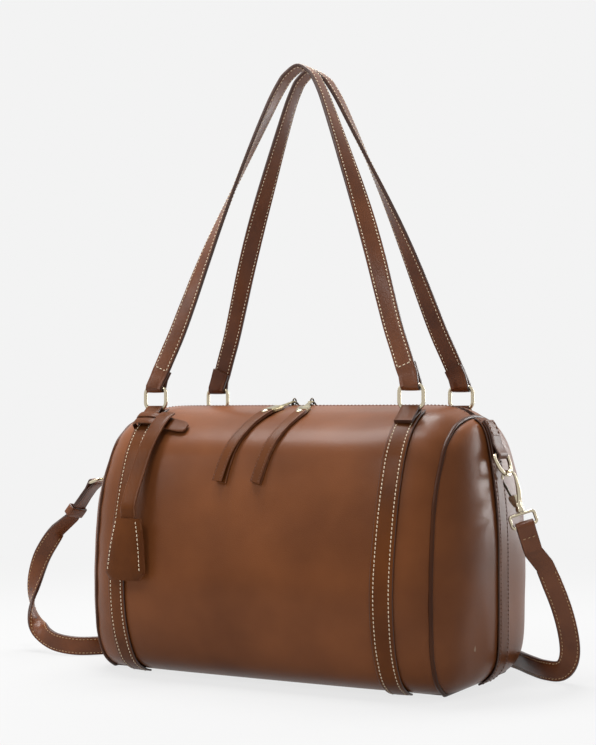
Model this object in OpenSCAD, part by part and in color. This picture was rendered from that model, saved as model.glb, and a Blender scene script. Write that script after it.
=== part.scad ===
// Barrel bag: a leather body of five panels with piped ends, four stitched strips with rings,
// two ring-hung handles, a two-slider zip, a hitched key charm and a clip-on shoulder strap.
// Frame: X along the bag, front faces -Y, Z up, origin on the floor under the middle of the base.

/* [Body] */
// Length between the two piped end seams
body_l = 280; // [262:1:300]
// Height of the zip edge at mid length
body_h = 205; // [199:1:215]
// Depth at the widest place, at mid length
body_d = 204; // [180:1:216]
// How much lower the end seams are than the zip edge
end_drop = 9; // [5:1:16]
// Depth of the end seams
end_d = 164; // [150:1:176]
// Depth of the flat base
base_d = 114; // [90:1:124]
// How far the end panels stand out past their seams
end_bulge = 21; // [14:1:26]
// Thickness of the panel leather with its backing
wall = 2.2; // [1.6:0.1:2.6]
// Width of the slot that the zip closes
slot_w = 10; // [9.4:0.1:12]
// Diameter of the piping in the end seams
pipe_d = 3.2; // [2.4:0.1:4]

/* [Strips and tabs] */
// Distance from the end seams to the middle of each strip
strip_gap = 30; // [26:1:40]
// Width of the strips
strip_w = 16; // [14:0.5:18]
// Thickness of the strips
strip_t = 1.4; // [1:0.1:1.8]
// Width of the strips down the ends
end_strip_w = 20; // [18:0.5:24]
// Thickness of the leather that holds the rings
tab_t = 1.3; // [1:0.1:1.6]

/* [Rings] */
// Thickness of the ring wire
ring_wire = 2.4; // [2:0.1:2.8]
// Width of the ring's opening
ring_in_w = 16.6; // [15.6:0.1:18]
// Height of the ring over its wire
ring_h = 20; // [18:0.5:24]
// Thickness of the D ring wire
dee_wire = 2.8; // [2.2:0.1:3]
// Width of the D ring over its wire
dee_w = 28.8; // [27:0.2:32]
// Lean of the hanging D rings away from the bag
dee_lean = 22; // [20:1:28]

/* [Handles] */
// Width of the handle straps
handle_w = 15; // [14.4:0.2:18]
// Thickness of the handle straps
handle_t = 2.6; // [2:0.1:3]
// Rise of the handles above the ring bars
handle_rise = 249; // [200:1:280]
// Distance of the handle tops from the middle plane
handle_top_y = 9.6; // [9.2:0.1:20]
// Length of the strap end that is folded back and sewn
handle_fold = 14; // [10:1:20]

/* [Zip] */
// Width of one zip tape
tape_w = 11; // [9:0.5:13]
// Thickness of the zip tape
tape_t = 0.8; // [0.5:0.1:1]
// Width of one row of zip teeth
row_w = 1.6; // [1.2:0.1:2]
// Height of the zip teeth
row_h = 2.5; // [2:0.1:3]
// Pitch of the zip teeth
tooth_pitch = 3; // [2:0.5:4]
// Place of the left slider along the zip
left_slider_x = -10.5; // [-14:0.5:-9]
// Place of the right slider along the zip
right_slider_x = 5; // [4:0.5:8]
// Length of a slider
slider_l = 10; // [8:0.5:12]
// Width of a slider
slider_w = 8.4; // [7.6:0.1:8.6]
// Height of the bridge on a slider
bridge_h = 5; // [4.8:0.1:6]
// Thickness of the link ring wire
link_wire = 1.2; // [1:0.1:1.4]
// Width of the link ring over its wire
link_w = 6.4; // [6.2:0.1:7]
// Length of the metal clamp of a pull
clamp_l = 20; // [14:1:24]
// Width of the metal clamp of a pull
clamp_w = 9; // [8:0.5:10]
// Width of the leather of a pull
pull_w = 8.6; // [7:0.2:9]
// Thickness of one leather layer of a pull
pull_t = 1.4; // [1:0.1:1.6]
// Diameter of the rivet of a pull
rivet_d = 5; // [4:0.5:6]

/* [Charm] */
// Width of the charm strap
charm_w = 12.5; // [10:0.5:14]
// Thickness of the charm strap
charm_t = 1.8; // [1.2:0.1:2.2]
// Height of the bell
bell_h = 46; // [36:1:52]
// Width of the bell at its foot
bell_w = 34; // [26:1:38]
// Width of the bell at its top
bell_top_w = 22; // [18:1:26]
// Thickness of one leaf of the bell
bell_t = 1.6; // [1.2:0.1:2]

/* [Shoulder strap] */
// Width of the shoulder strap
strap_w = 15; // [12:0.5:16]
// Thickness of the shoulder strap
strap_t = 3; // [2:0.1:3.4]
// Thickness of the wire of the strap loops
loop_wire = 2.4; // [2:0.1:2.8]
// Length of a hook from its eye to its collar
hook_l = 22; // [20:0.5:26]
// Outer diameter of the eye of a hook
eye_d = 12; // [11.4:0.1:12.6]
// Thickness of a hook across its flat sides
hook_t = 4.4; // [3.6:0.1:5]
// Diameter of the gate pins
gate_pin_d = 1.4; // [1.2:0.1:1.8]

/* [Inside] */
// Thickness of the stiff board on the floor of the bag
board_t = 2; // [1.5:0.1:3]
// Thickness of the lining
lining_t = 0.8; // [0.6:0.1:1.2]

/* [Hidden] */
$fn = 48;

// Running clearance, seat clearance and the overrun of cuts
run = 0.35;
seat = 0.3;
over = 1;
seam_x = body_l / 2;
end_h = body_h - end_drop;
strip_x = seam_x - strip_gap;
pipe_r = pipe_d / 2;
panel_x = seam_x - pipe_r - seat;
leather = "sienna";
edge_brown = "saddlebrown";
brass = "darkkhaki";
bronze = "dimgray";

// Share of the way from the mid profile to the end profile that the gentle bow takes
bow_share = 0.15;
bow_power = 8;
top_power = 10;

// Side profile from the zip to the widest place: share of depth, share of height
mid_upper_shares = [[0, 1], [0.183, 0.994], [0.355, 0.98], [0.505, 0.948], [0.634, 0.9],
    [0.742, 0.834], [0.817, 0.741], [0.892, 0.624], [0.962, 0.488], [1, 0.366]];
end_upper_shares = [[0, 1], [0.195, 0.99], [0.403, 0.967], [0.545, 0.934], [0.675, 0.89],
    [0.779, 0.821], [0.87, 0.745], [0.935, 0.653], [0.98, 0.51], [1, 0.367]];
// Side profile from there to the base: share of what stands out past the base, share of height
mid_lower_shares = [[0.951, 0.244], [0.817, 0.146], [0.61, 0.063], [0.317, 0.02], [0, 0.005]];
end_lower_shares = [[0.98, 0.255], [0.9, 0.153], [0.64, 0.071], [0.32, 0.031], [0, 0.008]];
upper_n = len(mid_upper_shares);
last_t = upper_n + len(mid_lower_shares) - 1;

function mix(a, b, k) = a + (b - a) * k;
function clip(v, lo, hi) = min(max(v, lo), hi);
function smooth(k) = let(c = clip(k, 0, 1)) c * c * (3 - 2 * c);
function unit(v) = v / norm(v);
function flip_x(p) = [-p[0], p[1], p[2]];
function backwards(list) = [for (i = [len(list) - 1:-1:0]) list[i]];

function bow(x) = let(s = abs(x) / seam_x) bow_share * s ^ 2 + (1 - bow_share) * s ^ bow_power;
function half_depth(x) = mix(body_d, end_d, bow(x)) / 2;
function top_z(x) = mix(body_h, end_h, (abs(x) / seam_x) ^ top_power);

// Corner of the side profile at station x: distance from the middle plane and height
function corner(x, i) =
    let(k = clip(i, 0, last_t), low = k >= upper_n, w = bow(x), j = k - upper_n,
        m = low ? mid_lower_shares[j] : mid_upper_shares[k],
        e = low ? end_lower_shares[j] : end_upper_shares[k],
        s = mix(m, e, w), from = low ? base_d / 2 : slot_w / 2)
    [mix(from, half_depth(x), s[0]), s[1] * top_z(x)];

// Point of the front, on its flat facets, at station x and place t down the profile
function face(x, t) =
    let(i = clip(floor(t), 0, last_t - 1), p = mix(corner(x, i), corner(x, i + 1), t - i))
    [x, -p[0], p[1]];

// Outward direction of the front at a place, from its neighbours one reach away
reach_share = 0.4;

function out(x, t) =
    let(a = face(x, max(t - reach_share, 0)), b = face(x, min(t + reach_share, last_t)),
        c = face(x - reach_share * seat, t), e = face(x + reach_share * seat, t))
    unit(cross(b - a, e - c));

function lifted(x, t, h) = face(x, t) + h * out(x, t);

// Stations along the bag: they meet the edges of the strips
inner_station_shares = [0, 0.4, 0.75];
outer_station_shares = [0.35, 0.65, 0.85, 1];
strip_in = strip_x - strip_w / 2;
strip_out = strip_x + strip_w / 2;
right_stations = concat([for (s = inner_station_shares) s * strip_in],
    [strip_in, strip_x, strip_out],
    [for (s = outer_station_shares) mix(strip_out, panel_x, s)]);
station_n = len(right_stations);
stations = concat([for (i = [station_n - 1:-1:1]) -right_stations[i]], right_stations);

// Closed sheet between two grids of points, the second lying behind the first
module sheet(top, under) {
    r = len(top);
    c = len(top[0]);
    u = r * c;
    quads = concat(
        [for (i = [0:r - 2], j = [0:c - 2]) [i * c + j, i * c + c + j, i * c + c + j + 1, i * c + j + 1]],
        [for (i = [0:r - 2], j = [0:c - 2])
            [u + i * c + j + 1, u + i * c + c + j + 1, u + i * c + c + j, u + i * c + j]],
        [for (i = [0:r - 2]) [i * c, u + i * c, u + i * c + c, i * c + c]],
        [for (i = [0:r - 2]) [i * c + 2 * c - 1, u + i * c + 2 * c - 1, u + i * c + c - 1, i * c + c - 1]],
        [for (j = [0:c - 2]) [j, j + 1, u + j + 1, u + j]],
        [for (j = [0:c - 2]) [u - c + j, 2 * u - c + j, 2 * u - c + j + 1, u - c + j + 1]]);
    polyhedron(points = concat([for (row = top) each row], [for (row = under) each row]),
        faces = [for (q = quads) each [[q[0], q[1], q[2]], [q[0], q[2], q[3]]]]);
}

// Closed tube through rings of points, each ring turning right-handed about the way along
module tube(rings, closed = false) {
    n = len(rings);
    k = len(rings[0]);
    spans = closed ? n : n - 1;
    sides = [for (i = [0:spans - 1], j = [0:k - 1])
        let(m = (i + 1) % n, h = (j + 1) % k)
        each [[i * k + j, m * k + j, m * k + h], [i * k + j, m * k + h, i * k + h]]];
    caps = closed ? [] : [[for (j = [0:k - 1]) j], [for (j = [k - 1:-1:0]) (n - 1) * k + j]];
    polyhedron(points = [for (ring = rings) each ring], faces = concat(sides, caps));
}

// Way along a path at each of its points
function ways(p) = [for (i = [0:len(p) - 1]) unit(p[min(i + 1, len(p) - 1)] - p[max(i - 1, 0)])];

// Flat strap section about a point, from its way along, a rough width direction and its sizes
function band(p, way, wide, w, t) =
    let(u = unit(wide - way * (wide * way)) * w / 2, v = cross(way, unit(u)) * t / 2)
    [p + u + v, p - u + v, p - u - v, p + u - v];

// Points of a smooth curve through rows, with the given number of steps between two rows
function curve(rows, steps) = concat(
    [for (i = [0:len(rows) - 2], s = [0:steps - 1])
        let(k = s / steps, a = rows[max(i - 1, 0)], b = rows[i], c = rows[i + 1],
            d = rows[min(i + 2, len(rows) - 1)])
        b + (c - a) * k / 2 + (2 * a - 5 * b + 4 * c - d) * k * k / 2
            + (3 * b - a - 3 * c + d) * k * k * k / 2],
    [rows[len(rows) - 1]]);

// Front, back and base
module side_panel() {
    grid = [for (x = stations) [for (t = [0:last_t]) face(x, t)]];
    inner = [for (x = stations) [for (t = [0:last_t]) lifted(x, t, -wall)]];
    sheet(grid, inner);
}

module front_panel() {
    color(leather) side_panel();
}

module back_panel() {
    color(leather) mirror([0, 1, 0]) side_panel();
}

module bottom_panel() {
    color(leather)
        translate([-panel_x, -base_d / 2 + 2 * seat, 0])
            cube([2 * panel_x, base_d - 4 * seat, wall]);
}

// End panels: how full they are across and up, and their points
across_power = 8;
low_power = 12;
crown_share = 0.4;
crown_power = 24;
side_column_shares = [1, 0.8, 0.5, 0.2];
end_base_x = seam_x + pipe_r + seat;
end_inset = pipe_r + 2 * seat;

function fullness(u, v) =
    (1 - abs(u) ^ across_power)
    * (v < 0 ? 1 - abs(v) ^ low_power : 1 - (1 - crown_share) * v ^ 2 - crown_share * v ^ crown_power);

function end_point(u, t, h) =
    let(c = corner(seam_x, t), mid = end_h / 2,
        v = clip((c[1] - mid) / (mid - corner(seam_x, last_t)[1]), -1, 1))
    [end_base_x + (end_bulge - pipe_r - seat) * fullness(u, v) + h, u * (c[0] - end_inset),
        mix(mid, c[1], 1 - end_inset / mid)];

function end_strip_share(t, w) = min(w / 2 / (corner(seam_x, t)[0] - end_inset), 0.9);

function end_columns(t) =
    let(e = end_strip_share(t, end_strip_w))
    concat([for (s = side_column_shares) -mix(e, 1, s)], [-e, 0, e],
        [for (i = [len(side_column_shares) - 1:-1:0]) mix(e, 1, side_column_shares[i])]);

column_n = 2 * len(side_column_shares) + 3;

module end_panel() {
    top = [for (i = [0:column_n - 1]) [for (t = [0:last_t]) end_point(end_columns(t)[i], t, 0)]];
    under = [for (i = [0:column_n - 1]) [for (t = [0:last_t]) end_point(end_columns(t)[i], t, -wall)]];
    sheet(top, under);
}

module right_end_panel() {
    color(leather) end_panel();
}

module left_end_panel() {
    color(leather) mirror([1, 0, 0]) end_panel();
}

// Piping all round an end seam
pipe_sides = 8;

module piping() {
    half = [for (t = [0:last_t]) let(c = corner(seam_x, t)) [seam_x, -c[0], max(c[1], pipe_r + seat)]];
    loop = concat(half, [for (i = [last_t:-1:0]) [seam_x, -half[i][1], half[i][2]]]);
    n = len(loop);
    rings = [for (i = [0:n - 1])
        let(way = unit(loop[(i + 1) % n] - loop[(i + n - 1) % n]), side = [1, 0, 0], up = cross(way, side))
        [for (a = [0:pipe_sides - 1])
            loop[i] + pipe_r * (cos(a * 360 / pipe_sides) * side + sin(a * 360 / pipe_sides) * up)]];
    tube(rings, true);
}

module right_piping() {
    color(edge_brown) piping();
}

module left_piping() {
    color(edge_brown) mirror([1, 0, 0]) piping();
}

// Stiff board on the floor of the bag
board_z = wall + seat;

module base_board() {
    color("gray")
        translate([-panel_x + wall, -base_d / 2 + wall, board_z])
            cube([2 * (panel_x - wall), base_d - 2 * wall, board_t]);
}

// Lining: one sheet down the front, over the board and up the back, and one at each end
lining_top_t = 1;
lining_low_t = last_t - 2;
lining_gap = wall + seat;
lining_z = board_z + board_t + seat;
lining_x = seam_x - pipe_r - seat - wall;
lining_stations = [for (x = stations) clip(x, -lining_x, lining_x)];

function lining_row(x, h) =
    let(front = [for (t = [lining_top_t:lining_low_t]) lifted(x, t, -lining_gap - h)],
        foot = [x, -base_d / 2 + wall, lining_z + h])
    concat(front, [foot], [[x, base_d / 2 - wall, lining_z + h]],
        [for (t = [lining_low_t:-1:lining_top_t]) let(p = lifted(x, t, -lining_gap - h)) [p[0], -p[1], p[2]]]);

module end_lining() {
    places = [for (t = [lining_top_t:lining_low_t]) t];
    sheet([for (i = [1:column_n - 2]) [for (t = places) end_point(end_columns(t)[i], t, -lining_gap)]],
        [for (i = [1:column_n - 2]) [for (t = places) end_point(end_columns(t)[i], t, -lining_gap - lining_t)]]);
}

module lining() {
    color("tan") {
        sheet([for (x = lining_stations) lining_row(x, 0)], [for (x = lining_stations) lining_row(x, lining_t)]);
        end_lining();
        mirror([1, 0, 0]) end_lining();
    }
}

// Stitched strips: from under the ring tab down to the base, as shares of the way down the profile
strip_top_share = 0.143;
strip_end_share = 0.9643;
strip_top_t = round(strip_top_share * last_t);
strip_end_t = strip_end_share * last_t;

module strip() {
    places = concat([for (t = [strip_top_t:last_t - 1]) t], [strip_end_t]);
    columns = [strip_in, strip_x, strip_out];
    sheet([for (x = columns) [for (t = places) lifted(x, t, seat + strip_t)]],
        [for (x = columns) [for (t = places) lifted(x, t, seat)]]);
}

module front_right_strip() {
    color(leather) strip();
}

module front_left_strip() {
    color(leather) mirror([1, 0, 0]) strip();
}

module back_right_strip() {
    color(leather) mirror([0, 1, 0]) strip();
}

module back_left_strip() {
    color(leather) mirror([0, 1, 0]) mirror([1, 0, 0]) strip();
}

// Where the ring bar sits above the strip, where the tab bends and where it ends
ring_share = 0.1714;
knee_share = 0.2143;
tab_end_share = 0.2464;
ring_t = ring_share * last_t;
knee_t = knee_share * last_t;
tab_end_t = tab_end_share * last_t;
ring_r = ring_wire / 2;
tab_r = ring_r + run + tab_t;
tab_crest_angle = 25;
strip_lift = seat + strip_t;
tab_lift = strip_lift + seat;

function strip_flat(p) = [p[1], p[2]];
function seat_out(t) = let(n = strip_flat(out(strip_in, t))) unit(n);
function on_strip(t, h) = strip_flat(face(strip_in, t)) + h * seat_out(t);

ring_bar = on_strip(ring_t, tab_lift + tab_r);
ring_y = ring_bar[0];
ring_z = ring_bar[1];
ring_corner = ring_r + run + 2 * seat;
ring_mid_w = ring_in_w + ring_wire;
ring_mid_h = ring_h - ring_wire;
loop_w = ring_in_w - 2 * (ring_corner - ring_r) - seat;
top_bar_z = ring_z + ring_mid_h;

module tab() {
    low = on_strip(ring_t, tab_lift + seat);
    knee = on_strip(knee_t, tab_lift);
    end = on_strip(tab_end_t, tab_lift);
    end_up = on_strip(tab_end_t, tab_lift + 2 * tab_t);
    knee_up = on_strip(knee_t, tab_lift + 2 * tab_t + seat);
    a = tab_crest_angle;
    n = seat_out(ring_t);
    crest = ring_bar + (tab_r - seat) * [n[0] * cos(a) - n[1] * sin(a), n[0] * sin(a) + n[1] * cos(a)];
    translate([strip_x - loop_w / 2, 0, 0])
        rotate([90, 0, 90])
            difference() {
                union() {
                    translate(ring_bar) cylinder(h = loop_w, r = tab_r);
                    linear_extrude(loop_w) polygon([ring_bar, low, knee, end, end_up, knee_up, crest]);
                }
                translate([ring_bar[0], ring_bar[1], -over]) cylinder(h = loop_w + 2 * over, r = ring_r + run);
            }
}

module front_right_tab() {
    color(leather) tab();
}

module front_left_tab() {
    color(leather) mirror([1, 0, 0]) tab();
}

module back_right_tab() {
    color(leather) mirror([0, 1, 0]) tab();
}

module back_left_tab() {
    color(leather) mirror([0, 1, 0]) mirror([1, 0, 0]) tab();
}

// Wire ring with round corners, upright in the XZ plane, its lower bar on the origin
module wire_ring(w, h, r, corner_r) {
    for (z = [0, h])
        translate([-w / 2 + corner_r, 0, z]) rotate([0, 90, 0]) cylinder(h = w - 2 * corner_r, r = r);
    for (x = [-w / 2, w / 2])
        translate([x, 0, corner_r]) cylinder(h = h - 2 * corner_r, r = r);
    corners = [[1, 1], [-1, 1], [-1, -1], [1, -1]];
    for (i = [0:3])
        translate([corners[i][0] * (w / 2 - corner_r), 0, h / 2 + corners[i][1] * (h / 2 - corner_r)])
            rotate([90, 0, 0]) mirror([0, 0, 1]) rotate([0, 0, i * 90])
                rotate_extrude(angle = 90) translate([corner_r, 0]) circle(r);
}

module handle_ring() {
    translate([strip_x, ring_y, ring_z]) wire_ring(ring_mid_w, ring_mid_h, ring_r, ring_corner);
}

module front_right_ring() {
    color(brass) handle_ring();
}

module front_left_ring() {
    color(brass) mirror([1, 0, 0]) handle_ring();
}

module back_right_ring() {
    color(brass) mirror([0, 1, 0]) handle_ring();
}

module back_left_ring() {
    color(brass) mirror([0, 1, 0]) mirror([1, 0, 0]) handle_ring();
}

// Handle: share of the rise and share of the half span at places up one leg
leg_shares = [[0, 1], [0.025, 0.982], [0.06, 0.948], [0.1, 0.912], [0.17, 0.848], [0.27, 0.77],
    [0.375, 0.69], [0.484, 0.6], [0.59, 0.505], [0.69, 0.41], [0.77, 0.333], [0.84, 0.264],
    [0.9, 0.203], [0.945, 0.148], [0.975, 0.098], [0.993, 0.05], [1, 0]];
layer_y = handle_t / 2 + seat / 2;
wrap_r = ring_r + run + seat + handle_t / 2;
wrap_angle = 180 / 8;
wrap_rise_shares = [1, 0.72, 0.48];
clear_share = 1.2;

function leg_x(v) = strip_x * lookup(v, leg_shares);
function leg_point(v, off) = [-leg_x(v), mix(ring_y, -handle_top_y, v) + off, top_bar_z + v * handle_rise];
function wrap_point(a) = [-strip_x, ring_y + wrap_r * cos(a), top_bar_z + wrap_r * sin(a)];

// Path of the left half from the sewn end, round the ring bar and up to the top
fold_v = handle_fold / handle_rise;
fold_path = [for (s = wrap_rise_shares) leg_point(s * fold_v, layer_y)];
wrap_path = [for (a = [-wrap_angle / 2:-wrap_angle:wrap_angle / 2 - 180]) wrap_point(a)];
rise_path = [for (i = [len(wrap_rise_shares) - 1:-1:0]) leg_point(wrap_rise_shares[i] * fold_v, -layer_y)];
leg_path = [for (s = leg_shares) if (s[0] > fold_v * clear_share && s[0] < 1)
    leg_point(s[0], -layer_y * (1 - s[0]))];
half_handle = concat(fold_path, wrap_path, rise_path, leg_path);
half_turns = [for (p = half_handle) 90 * smooth((p[2] - top_bar_z - 2 * handle_fold)
    / (handle_rise - 2 * handle_fold))];
half_widths = [for (p = half_handle) mix(loop_w, handle_w, smooth((p[2] - top_bar_z) / handle_fold))];
half_n = len(half_handle);
handle_path = concat(half_handle, [leg_point(1, 0)], [for (i = [half_n - 1:-1:0]) flip_x(half_handle[i])]);
handle_turns = concat(half_turns, [90], [for (i = [half_n - 1:-1:0]) half_turns[i]]);
handle_widths = concat(half_widths, [handle_w], [for (i = [half_n - 1:-1:0]) half_widths[i]]);

// The width lies along the bag at the rings and turns across it at the top
module handle() {
    n = len(handle_path);
    w = ways(handle_path);
    loop_n = len(fold_path) + len(wrap_path);
    rings = [for (i = [0:n - 1])
        let(sign = i <= (n - 1) / 2 ? 1 : -1, turn = i < loop_n || i > n - 1 - loop_n ? 0 : handle_turns[i],
            wide = cos(turn) * [sign, 0, 0] - sin(turn) * [0, 1, 0])
        band(handle_path[i], w[i], wide, handle_widths[i], handle_t)];
    tube(rings);
}

module front_handle() {
    color(leather) handle();
}

module back_handle() {
    color(leather) mirror([0, 1, 0]) handle();
}

// Zip: tapes under the panel edges and two rows of teeth with a slot for the slider posts
post_t = 0.8;
row_y = post_t / 2 + seat;
row_out = row_y + row_w;
chain_half = strip_out - 2 * seat;
chain_z = top_z(chain_half) - wall - seat - tape_t / 2;
chain_top = chain_z + row_h / 2;
tape_t_share = (tape_w - slot_w / 2 + row_out) / (corner(0, 1)[0] - corner(0, 0)[0]);

module zip_tape() {
    rows = [for (x = stations)
        let(z = min(top_z(x) - wall - seat, chain_z + tape_t / 2))
        [[x, -row_out - seat / 3, z], [x, -slot_w / 2, z], face(x, tape_t_share) - [0, 0, wall + 2 * seat]]];
    sheet(rows, [for (row = rows) [for (p = row) p - [0, 0, tape_t]]]);
}

module front_zip_tape() {
    color(edge_brown) zip_tape();
}

module back_zip_tape() {
    color(edge_brown) mirror([0, 1, 0]) zip_tape();
}

tooth_n = floor(2 * chain_half / tooth_pitch);
tooth_half = tooth_n * tooth_pitch / 2;
tooth_flank_share = 0.3;

module tooth_row() {
    comb = [for (i = [0:tooth_n - 1])
        let(x = -tooth_half + i * tooth_pitch)
        each [[x, -row_w / 2], [x + tooth_pitch * tooth_flank_share, 0],
            [x + tooth_pitch * (1 - tooth_flank_share), 0], [x + tooth_pitch, -row_w / 2]]];
    translate([0, -row_y, chain_z - row_h / 2])
        linear_extrude(row_h)
            polygon(concat(comb, [[tooth_half, -row_w], [-tooth_half, -row_w]]));
}

module zip_teeth() {
    color(bronze) {
        tooth_row();
        mirror([0, 1, 0]) tooth_row();
    }
}

// Slider: plates above and below the teeth, a post between the rows and a bridge for the link
plate_t = 1.2;
plate_z = chain_top + seat;
under_z = chain_z - row_h / 2 - seat - plate_t;
bridge_z = plate_z + plate_t;
bridge_w = 2;
bridge_l = 8;
bar_t = 1.3;
bar_z = bridge_z + bridge_h - bar_t / 2;
link_r = link_w / 2 - link_wire / 2;
link_y = -(link_r - link_wire / 2 - bridge_w / 2 - seat / 2);
window_l = 4.6;
slider_end_r = 3;

module slider_plate(w) {
    translate([-slider_l / 2 + slider_end_r, -w / 2, 0]) cube([slider_l - 2 * slider_end_r, w, plate_t]);
    for (s = [-1, 1])
        translate([s * (slider_l / 2 - slider_end_r), 0, 0])
            linear_extrude(plate_t)
                polygon([[0, -w / 2], [s * slider_end_r, -w / 4], [s * slider_end_r, w / 4], [0, w / 2]]);
}

module slider() {
    translate([0, 0, plate_z]) slider_plate(slider_w);
    translate([0, 0, under_z]) slider_plate(2 * row_out);
    translate([-slider_l / 4, -post_t / 2, under_z + plate_t])
        cube([slider_l / 2, post_t, plate_z - under_z - plate_t]);
    translate([0, bridge_w / 2, bridge_z])
        rotate([90, 0, 0])
            linear_extrude(bridge_w)
                difference() {
                    polygon([[-bridge_l / 2, 0], [bridge_l / 2, 0], [window_l / 2, bridge_h], [-window_l / 2, bridge_h]]);
                    polygon([[-window_l / 2, 0], [window_l / 2, 0], [window_l / 2 - bar_t / 2, bridge_h - bar_t],
                        [bar_t / 2 - window_l / 2, bridge_h - bar_t]]);
                }
}

module left_slider() {
    color(bronze) translate([left_slider_x, 0, 0]) slider();
}

module right_slider() {
    color(bronze) translate([right_slider_x, 0, 0]) slider();
}

module pull_link() {
    translate([0, link_y, bar_z])
        rotate([0, 90, 0])
            rotate_extrude() translate([link_r, 0]) circle(link_wire / 2);
}

module left_pull_link() {
    color(bronze) translate([left_slider_x, 0, 0]) pull_link();
}

module right_pull_link() {
    color(bronze) translate([right_slider_x, 0, 0]) pull_link();
}

// Pulls: they lie over the shoulder of the bag. Rows: place down the profile, share of the
// sideways drift, and height above the panel as a share of the leather's thickness
left_drape_shares = [[2.15, 0, 1.5], [2.5, 0.09, 1.36], [3, 0.24, 1.06], [3.5, 0.39, 0.9], [4, 0.51, 0.86],
    [4.5, 0.65, 0.84], [5, 0.77, 0.86], [5.5, 0.88, 0.84], [6, 0.97, 0.86], [6.2, 1, 0.86]];
right_drape_shares = [[2.15, 1, 1.5], [2.5, 0.98, 1.36], [3, 0.89, 1.06], [3.5, 0.73, 0.9], [4, 0.6, 0.86],
    [4.5, 0.45, 0.84], [5, 0.31, 0.86], [5.5, 0.18, 0.84], [6, 0.05, 0.86], [6.2, 0, 0.86]];
left_drift = -16.5;
right_drift = 13;
lug_hole_r = link_wire / 2 + run;
lug_wall = 0.65;
lug_w = 2 * (lug_hole_r + lug_wall);
clamp_wall = 0.5;
clamp_t = 2 * (pull_t + clamp_wall);

function drape_point(x0, drift, row) = lifted(x0 + drift * row[1], row[0], row[2] * 2 * pull_t);
function lug_point(x0) = [x0, link_y - link_r, bar_z];

module pull_leather(x0, drift, rows) {
    path = [for (row = rows) drape_point(x0, drift, row)];
    w = ways(path);
    first = unit(path[0] - lug_point(x0));
    tube([for (i = [0:len(path) - 1]) band(path[i], i == 0 ? first : w[i], [1, 0, 0], pull_w, 2 * pull_t)]);
}

module left_pull_leather() {
    color(leather) pull_leather(left_slider_x, left_drift, left_drape_shares);
}

module right_pull_leather() {
    color(leather) pull_leather(right_slider_x, right_drift, right_drape_shares);
}

// Clamp: a lug with a hole for the link and a folded box that grips the leather
module pull_clamp(x0, drift, rows) {
    a = lug_point(x0);
    b = drape_point(x0, drift, rows[0]);
    way = unit(b - a);
    tilt = asin(way[2]);
    head = atan2(way[1], way[0]);
    reach = norm(b - a) - seat;
    translate(a) rotate([0, 0, head]) rotate([0, -tilt, 0]) {
        difference() {
            union() {
                cylinder(h = pull_t, r = lug_w / 2, center = true);
                translate([0, -lug_w / 2, -pull_t / 2]) cube([reach - clamp_l + over, lug_w, pull_t]);
            }
            cylinder(h = lug_w, r = lug_hole_r, center = true);
        }
        translate([reach - clamp_l, -clamp_w / 2, -clamp_t / 2]) cube([clamp_l, clamp_w, clamp_t]);
    }
}

module left_pull_clamp() {
    color(brass) pull_clamp(left_slider_x, left_drift, left_drape_shares);
}

module right_pull_clamp() {
    color(brass) pull_clamp(right_slider_x, right_drift, right_drape_shares);
}

// Rivet head on the leather just below the clamp
rivet_h = 1;
rivet_place_share = 0.6;

module pull_rivet(x0, drift, rows) {
    p = drape_point(x0, drift, rows[0]);
    q = drape_point(x0, drift, rows[1]);
    n = cross([1, 0, 0], unit(p - q));
    up = n[2] > 0 ? n : -n;
    translate(mix(p, q, rivet_place_share) + up * (pull_t + seat))
        rotate([0, acos(up[2]), atan2(up[1], up[0])])
            cylinder(h = rivet_h, r1 = rivet_d / 2, r2 = (rivet_d - rivet_h) / 2);
}

module left_pull_rivet() {
    color(brass) pull_rivet(left_slider_x, left_drift, left_drape_shares);
}

module right_pull_rivet() {
    color(brass) pull_rivet(right_slider_x, right_drift, right_drape_shares);
}

// Strip down the middle of an end panel, and the tab that holds the D ring
module end_strip() {
    places = [for (t = [1:last_t]) t];
    sides = [-1, 0, 1];
    sheet([for (s = sides) [for (t = places)
            end_point(s * end_strip_share(t, end_strip_w), t, seat + strip_t)]],
        [for (s = sides) [for (t = places)
            end_point(s * end_strip_share(t, end_strip_w), t, seat)]]);
}

module right_end_strip() {
    color(leather) end_strip();
}

module left_end_strip() {
    color(leather) mirror([1, 0, 0]) end_strip();
}

dee_r = dee_wire / 2;
dee_bow_r = dee_w / 2 - dee_r;
dee_tab_r = dee_r + run + tab_t;
dee_corner = 2.6;
dee_tab_w = 2 * (dee_bow_r - dee_corner - dee_r);
dee_share = 0.3143;
dee_tab_top_share = 0.1143;
dee_tab_crest_angle = 40;
dee_t = dee_share * last_t;

function on_end(t, h) = let(i = floor(t), a = end_point(0, i, 0), b = end_point(0, i + 1, 0),
    p = mix(a, b, t - i), d = unit(b - a)) [p[0] - d[2] * h, p[2] + d[0] * h];

dee_bar = on_end(dee_t, tab_lift + dee_tab_r);
dee_x = dee_bar[0];
dee_z = dee_bar[1];
dee_tab_top_t = dee_tab_top_share * last_t;
dee_tab_places = [for (t = [ceil(dee_tab_top_t):floor(dee_t)]) t];

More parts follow.
